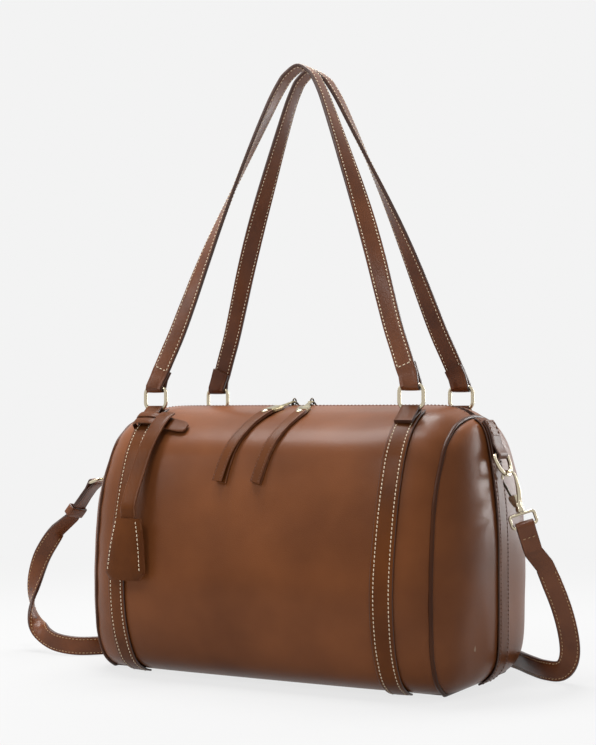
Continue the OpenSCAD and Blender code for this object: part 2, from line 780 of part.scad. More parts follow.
module dee_tab() {
    low = on_end(dee_t, tab_lift + seat);
    mids = [for (t = backwards(dee_tab_places)) on_end(t, tab_lift)];
    top = on_end(dee_tab_top_t, tab_lift);
    top_out = on_end(dee_tab_top_t, tab_lift + 2 * tab_t);
    mids_out = [for (t = dee_tab_places) on_end(t, tab_lift + 2 * tab_t + seat)];
    crest = dee_bar + (dee_tab_r - seat) * [cos(dee_tab_crest_angle), sin(dee_tab_crest_angle)];
    translate([0, dee_tab_w / 2, 0])
        rotate([90, 0, 0])
            difference() {
                union() {
                    translate(dee_bar) cylinder(h = dee_tab_w, r = dee_tab_r);
                    linear_extrude(dee_tab_w)
                        polygon(concat([dee_bar, low], mids, [top, top_out], mids_out, [crest]));
                }
                translate([dee_bar[0], dee_bar[1], -over]) cylinder(h = dee_tab_w + 2 * over, r = dee_r + run);
            }
}

module right_dee_tab() {
    color(leather) dee_tab();
}

module left_dee_tab() {
    color(leather) mirror([1, 0, 0]) dee_tab();
}

// D ring: straight bar in the tab and a half-round bow below it
module dee_ring() {
    translate([dee_x, 0, dee_z]) rotate([0, -dee_lean, 0]) {
        rotate([90, 0, 0]) cylinder(h = 2 * (dee_bow_r - dee_corner), r = dee_r, center = true);
        for (s = [-1, 1])
            translate([0, s * (dee_bow_r - dee_corner), -dee_corner])
                rotate([0, 90, 0]) mirror([0, s < 0 ? 1 : 0, 0]) rotate([0, 0, 90])
                    rotate_extrude(angle = 90) translate([dee_corner, 0]) circle(dee_r);
        translate([0, 0, -dee_corner]) rotate([0, 90, 0]) rotate([0, 0, -90])
            rotate_extrude(angle = 180) translate([dee_bow_r, 0]) circle(dee_r);
    }
}

module right_dee_ring() {
    color(brass) dee_ring();
}

module left_dee_ring() {
    color(brass) mirror([1, 0, 0]) dee_ring();
}

// Hooks hang on the D rings: fall of each hook from level, and turn of its strap loop
right_fall_angle = 70;
left_fall_angle = 20;
right_loop_angle = -24;
left_loop_angle = 90;
eye_r = eye_d / 2;
eye_wall = 2;
eye_hole_r = eye_r - eye_wall;
collar_l = 4;
collar_r = 3;
stem_r = 1.1;
bow_reach = dee_corner + dee_bow_r;
wire_x = dee_x + bow_reach * sin(dee_lean);
wire_z = dee_z - bow_reach * cos(dee_lean);
eye_play = eye_hole_r - dee_r - seat;
eye_round = 1.6;
eye_steps = [-90:30:90];

// Frame of a hook: its eye at the origin, its length along +Z away from the bag
module hook_frame(fall) {
    translate([wire_x + eye_play * cos(fall), 0, wire_z - eye_play * sin(fall)])
        rotate([0, 90 + fall, 0]) children();
}

// The flat cast hook: sizes from the eye's middle along it and across it
gate_x = 2.6;
gate_z = 15;
gate_r = 1.8;
nose_x = 0.35;
nose_z = 1.5;
throat_w = 2;
throat_end = gate_z - 3;
mouth_end = gate_z + gate_r + 2 * seat;
shoulder_r = collar_r + 1;
shoulder_z = hook_l - collar_l;
gate_t = hook_t - 2 * seat;

module gate_hole(r) {
    translate([gate_x, 0, gate_z]) rotate([90, 0, 0]) cylinder(h = hook_t + over, r = r, center = true);
}

// Hole of an eye, with the rounded inner edge of a cast ring
module eye_hole() {
    h = hook_t / 2;
    edge = [for (a = eye_steps) [eye_hole_r + eye_round * (1 - cos(a)), h * sin(a)]];
    rotate([90, 0, 0])
        rotate_extrude()
            polygon(concat([[0, -h - over], [eye_hole_r + eye_round, -h - over]], edge,
                [[eye_hole_r + eye_round, h + over], [0, h + over]]));
}

module hook() {
    difference() {
        union() {
            rotate([90, 0, 0])
                linear_extrude(hook_t, center = true)
                    difference() {
                        union() {
                            circle(eye_r);
                            polygon([[-eye_r, 0], [eye_r, 0], [shoulder_r, shoulder_z], [collar_r, hook_l],
                                [-collar_r, hook_l], [-shoulder_r, shoulder_z]]);
                        }
                        circle(eye_hole_r);
                        polygon([[-eye_hole_r, 0], [eye_hole_r, 0], [throat_w / 2, throat_end], [-throat_w / 2, throat_end]]);
                        polygon([[nose_x, nose_z], [eye_r + over, nose_z], [eye_r + over, mouth_end], [nose_x, mouth_end]]);
                    }
            translate([0, 0, hook_l - seat]) cylinder(h = collar_l, r = collar_r);
        }
        gate_hole(gate_pin_d / 2);
        eye_hole();
    }
}

module right_hook() {
    color(brass) hook_frame(right_fall_angle) hook();
}

module left_hook() {
    color(brass) mirror([1, 0, 0]) hook_frame(left_fall_angle) hook();
}

module gate() {
    difference() {
        union() {
            translate([gate_x, 0, gate_z]) rotate([90, 0, 0]) cylinder(h = gate_t, r = gate_r, center = true);
            rotate([90, 0, 0])
                linear_extrude(gate_t, center = true)
                    polygon([[gate_x - gate_r, gate_z], [gate_x + gate_r, gate_z], [eye_r - seat, nose_z + seat],
                        [eye_r - seat - gate_r, nose_z + seat]]);
        }
        gate_hole(gate_pin_d / 2 + run / 2);
    }
}

module right_gate() {
    color(bronze) hook_frame(right_fall_angle) gate();
}

module left_gate() {
    color(bronze) mirror([1, 0, 0]) hook_frame(left_fall_angle) gate();
}

module gate_pin() {
    translate([gate_x, 0, gate_z]) rotate([90, 0, 0]) cylinder(h = hook_t, r = gate_pin_d / 2, center = true);
}

module right_gate_pin() {
    color(bronze) hook_frame(right_fall_angle) gate_pin();
}

module left_gate_pin() {
    color(bronze) mirror([1, 0, 0]) hook_frame(left_fall_angle) gate_pin();
}

// Strap loop: a wire frame on a stem that turns in the collar of the hook
loop_r = loop_wire / 2;
loop_corner = loop_r + run + 2 * seat;
strap_end_w = strap_w - 4 * seat;
strap_loop_w = strap_end_w + 2 * loop_corner + seat;
strap_loop_h = 9;
stem_z = hook_l + collar_l;

module strap_loop(turn) {
    rotate([0, 0, turn]) {
        translate([0, 0, stem_z - seat + run]) {
            translate([0, 0, loop_r]) wire_ring(strap_loop_w, strap_loop_h, loop_r, loop_corner);
            cylinder(h = loop_r, r = stem_r + seat);
        }
    }
}

module right_strap_loop() {
    color(brass) hook_frame(right_fall_angle) strap_loop(right_loop_angle);
}

module left_strap_loop() {
    color(brass) mirror([1, 0, 0]) hook_frame(left_fall_angle) strap_loop(left_loop_angle);
}

// Shoulder strap: its middle line from the right loop round behind the bag to the left loop, as
// shares of the D ring's reach, of half the depth and of the way from the floor to the D ring
strap_route_shares = [[1.1358, 0.1471, 0.5494], [1.1841, 0.2647, 0.3442], [1.2083, 0.3235, 0.1799],
    [1.2022, 0.3529, 0.0705], [1.1599, 0.3725, 0.0089], [1.0754, 0.4216, 0], [0.9666, 0.5882, 0],
    [0.8458, 0.8039, 0], [0.6645, 1.049, 0], [0.3625, 1.2451, 0], [0, 1.3333, 0], [-0.3625, 1.2941, 0],
    [-0.6645, 1.1373, 0], [-0.882, 0.8627, 0], [-1.0029, 0.5098, 0], [-1.0451, 0.1471, 0],
    [-1.1056, -0.1373, 0], [-1.2264, -0.2843, 0.0021], [-1.3653, -0.2941, 0.0294],
    [-1.4862, -0.2255, 0.1115], [-1.5405, -0.1569, 0.262], [-1.5103, -0.1078, 0.4673],
    [-1.4257, -0.0686, 0.6315]];
// Heading of the strap's face at each of these points
strap_headings = [-62, -62, -66, -84, -106, -121, -127, -128, -118, -101, -90, -78, -62, -40, -18, -12,
    -35, -66, -84, -20, 60, 112, 140];
floor_lift = 0.2;
strap_floor_z = strap_w / 2 + floor_lift;
strap_route = [for (i = [0:len(strap_headings) - 1]) let(s = strap_route_shares[i])
    [s[0] * wire_x, s[1] * body_d / 2, mix(strap_floor_z, wire_z, s[2]), strap_headings[i]]];
strap_steps = 2;
right_tail_l = 20;
left_tail_l = 36;
wrap_angles = [0:30:180];
tail_shares = [1, 0.55, 0.2];
back_shares = [0.2, 0.6, 1.05];
ply_share = 0.6;
ply_t = ply_share * strap_t;
strap_wrap_r = loop_r + run + ply_t / 2;
ply_off = ply_t / 2 + seat / 3;
loop_bar_z = stem_z - seat + run + loop_r + strap_loop_h;

// Place on the right or left hook's frame, in the bag's frame
function hook_place(p, fall, side) =
    let(f = 90 + fall, x = wire_x + eye_play * cos(fall) + p[0] * cos(f) + p[2] * sin(f))
    [side * x, p[1], wire_z - eye_play * sin(fall) - p[0] * sin(f) + p[2] * cos(f)];
function loop_bar(fall, side) = hook_place([0, 0, loop_bar_z], fall, side);
function loop_way(fall, turn, side) = unit(hook_place([cos(turn), sin(turn), 0], fall, side)
    - hook_place([0, 0, 0], fall, side));

// End of the strap: from the tail's sewn end, round the loop bar and back along the strap
function strap_end(bar, along, to, tail_l) =
    let(d = unit(to - bar - along * ((to - bar) * along)), m = cross(along, d))
    concat([for (k = tail_shares) bar + m * ply_off + d * k * tail_l],
        [for (a = wrap_angles) bar + strap_wrap_r * (m * cos(a) - d * sin(a))],
        [for (k = back_shares) bar - m * ply_off + d * k * tail_l]);

strap_rows = curve(strap_route, strap_steps);
strap_mid = [for (r = strap_rows) [r[0], r[1], r[2]]];
right_bar = loop_bar(right_fall_angle, 1);
left_bar = loop_bar(left_fall_angle, -1);
right_along = loop_way(right_fall_angle, right_loop_angle, 1);
left_along = loop_way(left_fall_angle, left_loop_angle, -1);
right_end = strap_end(right_bar, right_along, strap_mid[0], right_tail_l);
left_end = backwards(strap_end(left_bar, left_along, strap_mid[len(strap_mid) - 1], left_tail_l));
end_n = len(right_end);

// Width direction of the free strap, from its way along and its heading
function strap_wide(way, h) = cross(way, [cos(h), sin(h), 0]);

module shoulder_strap() {
    pts = concat(right_end, strap_mid, left_end);
    w = ways(pts);
    n = len(pts);
    last = len(strap_rows) - 1;
    right_ref = strap_wide(w[end_n + 2], strap_rows[0][3]);
    left_ref = strap_wide(w[n - end_n - 3], strap_rows[last][3]);
    rings = [for (i = [0:n - 1])
        let(right = i < end_n, left = i >= n - end_n, near = right || left,
            free = strap_wide(w[i], strap_rows[clip(i - end_n, 0, last)][3]),
            wide = right ? right_along : left ? left_along : free,
            ref = right ? right_ref : left ? left_ref : wide)
        band(pts[i], w[i], wide * ref < 0 ? -wide : wide, near ? strap_end_w : strap_w, near ? ply_t : strap_t)];
    color(leather) tube(rings);
}

// Keeper: a leather sleeve round the left end of the strap and its tail
keeper_l = 9;
keeper_t = 1.4;
keeper_share = 0.88;

module strap_keeper() {
    way = unit(left_end[0] - left_end[1]);
    wide = unit(left_along - way * (left_along * way));
    up = cross(way, wide);
    p = left_bar + way * left_tail_l * keeper_share;
    in_w = strap_end_w + 2 * seat;
    in_t = 2 * (ply_off + ply_t / 2) + 2 * seat;
    frame = [[wide[0], up[0], way[0], p[0]], [wide[1], up[1], way[1], p[1]], [wide[2], up[2], way[2], p[2]],
        [0, 0, 0, 1]];
    color(leather)
        multmatrix(frame)
            translate([0, 0, -keeper_l / 2])
                linear_extrude(keeper_l)
                    difference() {
                        square([in_w + 2 * keeper_t, in_t + 2 * keeper_t], center = true);
                        square([in_w, in_t], center = true);
                    }
}

// Charm: a slit band hitched round the left front tab, a strap that hangs from it and a bell
band_lift = tab_lift + 2 * tab_t + 2 * seat;
band_shares = [[-0.58, 1], [0.5, 1], [1.1, 0.85], [1.8, 0.62], [2.6, 0.45]];
band_place_shares = [0.2157, 0.2429, 0.2786];
charm_x_share = 1.15;
bell_x_share = 0.88;
bell_place_share = 0.5179;
charm_x = -strip_x + charm_x_share * strip_w;
bell_x = -strip_x + bell_x_share * strip_w;
band_places = [for (k = band_place_shares) k * last_t];
bell_lift = 11;
bell_lean = 4.5;
bell_run = 22;
bell_gap = charm_t + 2 * seat;
// Strap of the charm: place down the profile, lift as a share of the band's, share of the way across
charm_shares = [[3.06, 1.28, 0.058], [3.4, 1.24, 0.133], [4, 1.12, 0.267], [5, 1.1, 0.489], [6, 1.25, 0.711]];
tuck_share = 0.52;
on_tab_share = 0.6;

bell_top = lifted(bell_x, bell_place_share * last_t, bell_lift);
function bell_down(l) = bell_top + l * [0, -sin(bell_lean), -cos(bell_lean)];

function band_point(s, t, h) =
    let(x = -strip_x + s[0] * strip_w, lift = s[1] * band_lift + h)
    abs(s[0]) < on_tab_share ? [x, on_strip(t, lift)[0], on_strip(t, lift)[1]] : lifted(x, t, lift);

module charm_strap() {
    path = concat([for (s = charm_shares) lifted(mix(charm_x, bell_x, s[2]), s[0],
        s[1] * band_lift + charm_t / 2 + seat)], [bell_down(-bell_run), bell_down(0), bell_down(tuck_share * bell_h)]);
    w = ways(path);
    color(leather) {
        sheet([for (s = band_shares) [for (t = band_places) band_point(s, t, charm_t)]],
            [for (s = band_shares) [for (t = band_places) band_point(s, t, 0)]]);
        tube([for (i = [0:len(path) - 1]) band(path[i], w[i], [1, 0, 0], charm_w, charm_t)]);
    }
}

// Bell: two leaves sewn along their sides, open at the foot, with a slot for the strap on top
bell_chamfer = 5;
bell_seam = 3.4;
bell_all_t = 2 * bell_t + bell_gap;

module charm_bell() {
    color(leather)
        translate(bell_top) rotate([-bell_lean, 0, 0]) rotate([90, 0, 0])
            difference() {
                translate([0, 0, -bell_all_t / 2])
                    linear_extrude(bell_all_t)
                        polygon([[-bell_top_w / 2, 0], [bell_top_w / 2, 0], [bell_w / 2, bell_chamfer - bell_h],
                            [bell_w / 2 - bell_chamfer, -bell_h], [bell_chamfer - bell_w / 2, -bell_h],
                            [-bell_w / 2, bell_chamfer - bell_h]]);
                translate([0, 0, -bell_gap / 2])
                    linear_extrude(bell_gap)
                        polygon([[-charm_w / 2 - seat, over], [charm_w / 2 + seat, over],
                            [bell_w / 2 - bell_chamfer - bell_seam / 2, -bell_h - over],
                            [bell_chamfer + bell_seam / 2 - bell_w / 2, -bell_h - over]]);
            }
}

front_panel();
back_panel();
bottom_panel();
left_end_panel();
right_end_panel();
left_piping();
right_piping();
front_left_strip();
front_right_strip();
back_left_strip();
back_right_strip();
front_left_tab();
front_right_tab();
back_left_tab();
back_right_tab();
left_end_strip();
right_end_strip();
left_dee_tab();
right_dee_tab();
front_zip_tape();
back_zip_tape();
zip_teeth();
base_board();
lining();
front_left_ring();
front_right_ring();
back_left_ring();
back_right_ring();
front_handle();
back_handle();
left_slider();
right_slider();
left_pull_link();
right_pull_link();
left_pull_clamp();
right_pull_clamp();
left_pull_leather();
right_pull_leather();
left_pull_rivet();
right_pull_rivet();
left_dee_ring();
right_dee_ring();
left_hook();
right_hook();
left_gate();
right_gate();
left_gate_pin();
right_gate_pin();
left_strap_loop();
right_strap_loop();
shoulder_strap();
strap_keeper();
charm_strap();
charm_bell();
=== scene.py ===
"""Barrel bag: leather, thread, zip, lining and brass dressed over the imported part.

Lengths are millimetres, but for the studio's, and are turned to metres only when a mesh is
made. Frame: X along the bag, front faces -Y, Z up.
"""

import logging
import math
from dataclasses import dataclass
from enum import Enum
from typing import Callable, Optional, Sequence

import bmesh
import bpy
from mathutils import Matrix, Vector, noise


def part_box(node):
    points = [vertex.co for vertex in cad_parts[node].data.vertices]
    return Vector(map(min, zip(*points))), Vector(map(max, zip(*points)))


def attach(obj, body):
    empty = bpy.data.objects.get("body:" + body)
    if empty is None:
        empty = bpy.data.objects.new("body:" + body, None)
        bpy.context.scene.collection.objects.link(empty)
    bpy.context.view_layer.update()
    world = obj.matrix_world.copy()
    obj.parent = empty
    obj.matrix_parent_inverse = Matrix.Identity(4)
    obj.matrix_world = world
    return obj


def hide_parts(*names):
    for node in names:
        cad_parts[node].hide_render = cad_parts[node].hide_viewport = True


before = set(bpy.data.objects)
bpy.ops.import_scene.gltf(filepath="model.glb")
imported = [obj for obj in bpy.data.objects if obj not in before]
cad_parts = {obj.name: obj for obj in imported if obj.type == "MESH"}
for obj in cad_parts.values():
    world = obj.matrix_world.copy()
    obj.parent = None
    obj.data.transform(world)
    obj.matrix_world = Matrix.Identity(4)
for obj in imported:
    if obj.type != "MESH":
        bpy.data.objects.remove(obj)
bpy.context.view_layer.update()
log = logging.getLogger("barrel_bag")

MM = 0.001
ACROSS = Vector((1.0, 0.0, 0.0))
DEPTHWISE = Vector((0.0, 1.0, 0.0))
UP = Vector((0.0, 0.0, 1.0))
Ring = list[Vector]
Outline = list[tuple[float, float, int]]
Tree = bpy.types.NodeTree
Node = bpy.types.Node
Socket = bpy.types.NodeSocket

# A wave texture repeats every 1 / (3.2 * scale)
WAVE_REPEAT = 3.2
# Sockets of a mix node that mixes colours
MIX_FIRST = 6
MIX_SECOND = 7
MIX_RESULT = 2
# A stitch's stations: share along its half length, share of the thread's radius, rise in radii
STITCH = ((-1.0, 0.35, -0.9), (-0.72, 0.85, 0.05), (-0.25, 1.0, 0.45), (0.25, 1.0, 0.45), (0.72, 0.85, 0.05),
          (1.0, 0.35, -0.9))
# Half a stitch's length as a share of the pitch, its slant, and the points round the thread
STITCH_SHARE = 0.33
STITCH_SLANT = 0.08
THREAD_SIDES = 5
THREAD_RADIUS = 0.38
# Half the width of a sewn groove, and how far its side takes to fall
GROOVE_REACH = 0.55
GROOVE_FALL = 0.5


def linear(hex_code: str) -> tuple[float, float, float, float]:
    """Turns an sRGB hex colour into the linear colour that the shaders take.

    Args:
        hex_code: Six hex digits, with or without a leading hash.

    Returns:
        Linear red, green, blue and an alpha of one.
    """
    digits = hex_code.lstrip("#")
    parts = [int(digits[i:i + 2], 16) / 255 for i in (0, 2, 4)]
    curve = [c / 12.92 if c <= 0.04045 else ((c + 0.055) / 1.055) ** 2.4 for c in parts]
    return (curve[0], curve[1], curve[2], 1.0)


def mix(a, b, share: float):
    """Returns the value that lies a share of the way from a to b."""
    return a + (b - a) * share


def smooth_share(value: float) -> float:
    """Returns an eased share, flat at nought and one."""
    v = min(max(value, 0.0), 1.0)
    return v * v * (3 - 2 * v)


def catmull(points: Sequence, steps: int) -> list:
    """Runs a smooth curve through points.

    Args:
        points: Vectors that the curve passes.
        steps: Number of steps between two points.

    Returns:
        The curve's points, the given ones among them.
    """
    rows = []
    last = len(points) - 1
    for i in range(last):
        a, b, c, d = points[max(i - 1, 0)], points[i], points[i + 1], points[min(i + 2, last)]
        for s in range(steps):
            k = s / steps
            rows.append(b + (c - a) * (k / 2) + (a * 2 - b * 5 + c * 4 - d) * (k * k / 2)
                        + (b * 3 - a - c * 3 + d) * (k * k * k / 2))
    rows.append(points[last])
    return rows


def ways(points: Sequence[Vector], closed: bool = False) -> list[Vector]:
    """Returns the unit direction along a path, or round a loop, at each of its points."""
    count = len(points)
    if closed:
        return [(points[(i + 1) % count] - points[i - 1]).normalized() for i in range(count)]
    return [(points[min(i + 1, count - 1)] - points[max(i - 1, 0)]).normalized() for i in range(count)]


def circle(count: int) -> list[float]:
    """Returns angles spaced evenly round a circle."""
    return [2 * math.pi * k / count for k in range(count)]


def degrees(*span: int) -> list[float]:
    """Returns in radians the angles of a range of degrees."""
    return [math.radians(d) for d in range(*span)]


def rounded(half_wide: float, half_high: float, radius: float, steps: int = 4) -> list[tuple[float, float]]:
    """Returns the outline of a rectangle with round corners, turning left.

    Args:
        half_wide: Half its width.
        half_high: Half its height.
        radius: Radius of its corners.
        steps: Number of steps in a corner.

    Returns:
        Its points, across and up.
    """
    outline = []
    for across, up, start in ((1, 1, 0), (-1, 1, 90), (-1, -1, 180), (1, -1, 270)):
        for k in range(steps + 1):
            a = math.radians(start + 90 / steps * k)
            outline.append((across * (half_wide - radius) + radius * math.cos(a),
                            up * (half_high - radius) + radius * math.sin(a)))
    return outline


def square_to(want: Vector, way: Vector) -> Vector:
    """Returns the unit direction nearest to the wanted one that lies square to a way."""
    return (want - way * want.dot(way)).normalized()


def mirrored(points: Sequence[Vector], x: int = 1, y: int = 1) -> list[Vector]:
    """Returns the points in reverse order, mirrored by signs along X and Y."""
    return [Vector((p.x * x, p.y * y, p.z)) for p in reversed(points)]


# Finishes


def add_node(tree: Tree, kind: str, settings: Optional[dict] = None, links: Optional[dict] = None) -> Node:
    """Adds a node, sets its values and joins its inputs.

    Args:
        tree: The material's node tree.
        kind: Blender's name for the kind of node.
        settings: Property names, or input names and numbers, with their values.
        links: Input names or numbers with the output socket that feeds each.

    Returns:
        The new node.
    """
    node = tree.nodes.new(kind)
    for key, value in (settings or {}).items():
        if isinstance(key, str) and hasattr(node, key) and key not in node.inputs:
            setattr(node, key, value)
        else:
            node.inputs[key].default_value = value
    for key, socket in (links or {}).items():
        tree.links.new(socket, node.inputs[key])
    return node


def lumps(tree: Tree, at: Socket, scale: float, detail: float) -> Socket:
    """Returns a soft noise with so many lumps to the metre."""
    settings = {"Scale": scale, "Detail": detail}
    return add_node(tree, "ShaderNodeTexNoise", settings, {"Vector": at}).outputs["Fac"]


def bands(tree: Tree, at: Socket, turn: tuple, thread_mm: float, waver: float, way: str = "X") -> Socket:
    """Returns threads side by side, as bands of so many millimetres on turned axes."""
    turned = add_node(tree, "ShaderNodeMapping", {"Rotation": turn}, {"Vector": at})
    settings = {"Scale": 1000 / thread_mm / WAVE_REPEAT, "bands_direction": way, "Distortion": waver}
    return add_node(tree, "ShaderNodeTexWave", settings, {"Vector": turned.outputs["Vector"]}).outputs["Fac"]


def spread(tree: Tree, value: Socket, settings: dict) -> Socket:
    """Returns a value moved from one range to another."""
    return add_node(tree, "ShaderNodeMapRange", settings, {"Value": value}).outputs["Result"]


def maths(tree: Tree, operation: str, links: dict, numbers: Optional[dict] = None,
          clamp: bool = False) -> Socket:
    """Returns the outcome of an operation on sockets and numbers, keyed by the inputs they go to."""
    settings = {"operation": operation, "use_clamp": clamp, **(numbers or {})}
    return add_node(tree, "ShaderNodeMath", settings, links).outputs["Value"]


def blend(tree: Tree, first: str, second: str, share: Socket) -> Socket:
    """Returns the colour that a share picks between two hex colours."""
    settings = {"data_type": "RGBA", MIX_FIRST: linear(first), MIX_SECOND: linear(second)}
    return add_node(tree, "ShaderNodeMix", settings, {0: share}).outputs[MIX_RESULT]


def raised(tree: Tree, height: Socket, strength: float, depth_mm: float) -> Socket:
    """Returns the normals of a relief with a depth in millimetres."""
    settings = {"Strength": strength, "Distance": depth_mm * MM}
    return add_node(tree, "ShaderNodeBump", settings, {"Height": height}).outputs["Normal"]


class Grain(Enum):
    """Surface relief of a leather."""

    SMOOTH = "smooth"
    PEBBLED = "pebbled"


@dataclass(frozen=True)
class Finish:
    """A finish that knows how to make its material once."""

    name: str

    def dress(self, tree: Tree, at: Socket) -> tuple[dict, dict]:
        """Adds the finish's own nodes to a fresh material.

        Args:
            tree: The material's node tree.
            at: The place on the piece, in metres.

        Returns:
            The shader's inputs that sockets feed, and those that take plain values.
        """
        raise NotImplementedError

    def material(self) -> bpy.types.Material:
        """Returns the material, made on first use."""
        known = bpy.data.materials.get(self.name)
        if known:
            return known
        made = bpy.data.materials.new(self.name)
        made.use_nodes = True
        tree = made.node_tree
        tree.nodes.clear()
        shader = add_node(tree, "ShaderNodeBsdfPrincipled")
        add_node(tree, "ShaderNodeOutputMaterial", None, {"Surface": shader.outputs["BSDF"]})
        sockets, values = self.dress(tree, add_node(tree, "ShaderNodeTexCoord").outputs["Object"])
        for key, socket in sockets.items():
            tree.links.new(socket, shader.inputs[key])
        for key, value in values.items():
            shader.inputs[key].default_value = value
        made.diffuse_color = (0.4, 0.25, 0.15, 1.0)
        return made


@dataclass(frozen=True)
class Leather(Finish):
    """Aniline-dyed, pigment-topped cowhide with a soft wax polish.

    The dye sits unevenly, so the tone drifts over a hand's breadth, the closed grain gives a
    broad satin sheen with a faint break-up, and a thin clear top coat adds the sharper gloss.
    """

    light: str
    deep: str
    grain_mm: float = 1.5
    cloud_mm: float = 70.0
    relief_mm: float = 0.05
    roughness: float = 0.36
    gloss: float = 0.14
    coat: float = 0.06
    grain: Grain = Grain.SMOOTH

    def dress(self, tree: Tree, at: Socket) -> tuple[dict, dict]:
        """Adds dye clouds, pores, fine creases and the satin top."""
        cloud = lumps(tree, at, 1000 / self.cloud_mm, 3.0)
        pores = lumps(tree, at, 1600 / self.grain_mm, 2.0)
        # Real pores are 0.2 mm apart, too fine for the render, so they are drawn at the grain size
        cells = add_node(tree, "ShaderNodeTexVoronoi",
                         {"Scale": 1000 / self.grain_mm, "feature": "DISTANCE_TO_EDGE"}, {"Vector": at})
        tone = spread(tree, cloud, {"From Min": 0.3, "From Max": 0.7})
        speck = maths(tree, "MULTIPLY_ADD", {0: pores}, {1: 0.16, 2: -0.08})
        share = maths(tree, "ADD", {0: tone, 1: speck}, clamp=True)
        rough = spread(tree, pores, {"To Min": self.roughness - 0.05, "To Max": self.roughness + 0.06})
        crease = 0.22 if self.grain is Grain.PEBBLED else 0.12
        edge = spread(tree, cells.outputs["Distance"], {"From Max": crease})
        lift = maths(tree, "MULTIPLY_ADD", {0: pores, 2: edge}, {1: 0.6})
        sockets = {"Base Color": blend(tree, self.deep, self.light, share), "Roughness": rough,
                   "Normal": raised(tree, lift, 0.5, self.relief_mm)}
        return sockets, {"IOR": 1.48, "Coat Weight": self.coat, "Coat Roughness": 0.22,
                         "Specular IOR Level": self.gloss}


@dataclass(frozen=True)
class EdgePaint(Finish):
    """Acrylic edge paint, burnished in layers: darker than the hide, rounded and half glossy."""

    tone: str
    worn: str
    roughness: float = 0.36
    wave_mm: float = 6.0

    def dress(self, tree: Tree, at: Socket) -> tuple[dict, dict]:
        """Adds slight waviness and rubbed places."""
        wave = lumps(tree, at, 1000 / self.wave_mm, 2.0)
        rub = spread(tree, wave, {"From Min": 0.5, "From Max": 0.75, "To Max": 0.5})
        sockets = {"Base Color": blend(tree, self.tone, self.worn, rub),
                   "Normal": raised(tree, wave, 0.4, 0.12)}
        return sockets, {"Roughness": self.roughness, "IOR": 1.49}


@dataclass(frozen=True)
class Thread(Finish):
    """Bonded polyester thread, twisted from plies: a dull lustre with a slanting twist."""

    tone: str
    shade: str
    twist_mm: float = 0.7

    def dress(self, tree: Tree, at: Socket) -> tuple[dict, dict]:
        """Adds the twist as slanting bands of tone and relief."""
        # One twist of the thread is 0.35 mm, drawn at twice that so that a stitch still shows it
        ply = bands(tree, at, (0.6, 0.5, 0.7), self.twist_mm, 0.4)
        sockets = {"Base Color": blend(tree, self.shade, self.tone, ply),
                   "Normal": raised(tree, ply, 0.5, 0.06)}
        return sockets, {"Roughness": 0.6, "Sheen Weight": 0.2}


@dataclass(frozen=True)
class Weave(Finish):
    """Woven cloth, such as a zip's polyester tape or a cotton twill lining."""

    warp: str
    weft: str
    thread_mm: float
    slant: float = 0.0

    def dress(self, tree: Tree, at: Socket) -> tuple[dict, dict]:
        """Adds crossing threads in colour and relief."""
        runs = [bands(tree, at, (0.35, 0.0, self.slant), self.thread_mm, 0.3, way) for way in ("X", "Y")]
        over = maths(tree, "MULTIPLY", {0: runs[0], 1: runs[1]})
        sockets = {"Base Color": blend(tree, self.weft, self.warp, over),
                   "Normal": raised(tree, over, 0.6, 0.15)}
        return sockets, {"Roughness": 0.85, "Sheen Weight": 0.3, "Sheen Roughness": 0.4}


@dataclass(frozen=True)
class Metal(Finish):
    """Plated zinc: antique brass or dark bronze, tumbled and lacquered, worn bright on its highs."""

    bright: str
    dull: str
    roughness: float = 0.26
    patch_mm: float = 5.0
    mark_mm: float = 0.8

    def dress(self, tree: Tree, at: Socket) -> tuple[dict, dict]:
        """Adds patches of patina, tumbling marks and a slight orange-peel relief."""
        patina = lumps(tree, at, 1000 / self.patch_mm, 4.0)
        marks = lumps(tree, at, 1000 / self.mark_mm, 2.0)
        share = spread(tree, patina, {"From Min": 0.35, "From Max": 0.62})
        rough = spread(tree, patina, {"To Min": self.roughness - 0.07, "To Max": self.roughness + 0.12})
        sockets = {"Base Color": blend(tree, self.dull, self.bright, share), "Roughness": rough,
                   "Normal": raised(tree, marks, 0.15, 0.03)}
        return sockets, {"Metallic": 1.0}


@dataclass(frozen=True)
class Board(Finish):
    """Grey pressed fibreboard: fine flecks and a matt, slightly furry face."""

    tone: str = "#8b8478"
    fleck: str = "#5f584e"
    fibre_mm: float = 1.2

    def dress(self, tree: Tree, at: Socket) -> tuple[dict, dict]:
        """Adds the fibre flecks."""
        fibres = lumps(tree, at, 1000 / self.fibre_mm, 5.0)
        return {"Base Color": blend(tree, self.tone, self.fleck, fibres)}, {"Roughness": 0.9}


HIDE = Leather("hide_body", "#774525", "#5e341a", gloss=0.1, coat=0.08)
TRIM = Leather("hide_trim", "#673919", "#512b12", grain_mm=1.3, cloud_mm=40.0, relief_mm=0.06, gloss=0.07)
STRAP_HIDE = Leather("hide_straps", "#6f3f22", "#542c15", grain_mm=1.6, cloud_mm=30.0, relief_mm=0.09,
                     roughness=0.34, gloss=0.22, coat=0.12, grain=Grain.PEBBLED)
FLESH = Leather("hide_flesh_side", "#7b4e30", "#61381f", grain_mm=0.9, relief_mm=0.1, roughness=0.75,
                gloss=0.2, coat=0.0)
PAINT = EdgePaint("edge_paint", "#3c2012", "#54301c")
RAW = EdgePaint("edge_raw", "#6a3c1e", "#9a6a44", roughness=0.5)
PIPING = Leather("hide_piping", "#4c2a16", "#371c0e", grain_mm=1.2, relief_mm=0.05, roughness=0.32, gloss=0.1)
CREAM = Thread("thread_cream", "#f6ead2", "#d2b68e")
TAN = Thread("thread_tan", "#d0ae80", "#8a623c")
BROWN = Thread("thread_brown", "#7a4a2c", "#4a2412")
TAPE = Weave("zip_tape_weave", "#4a2a1a", "#2f190f", 0.9)
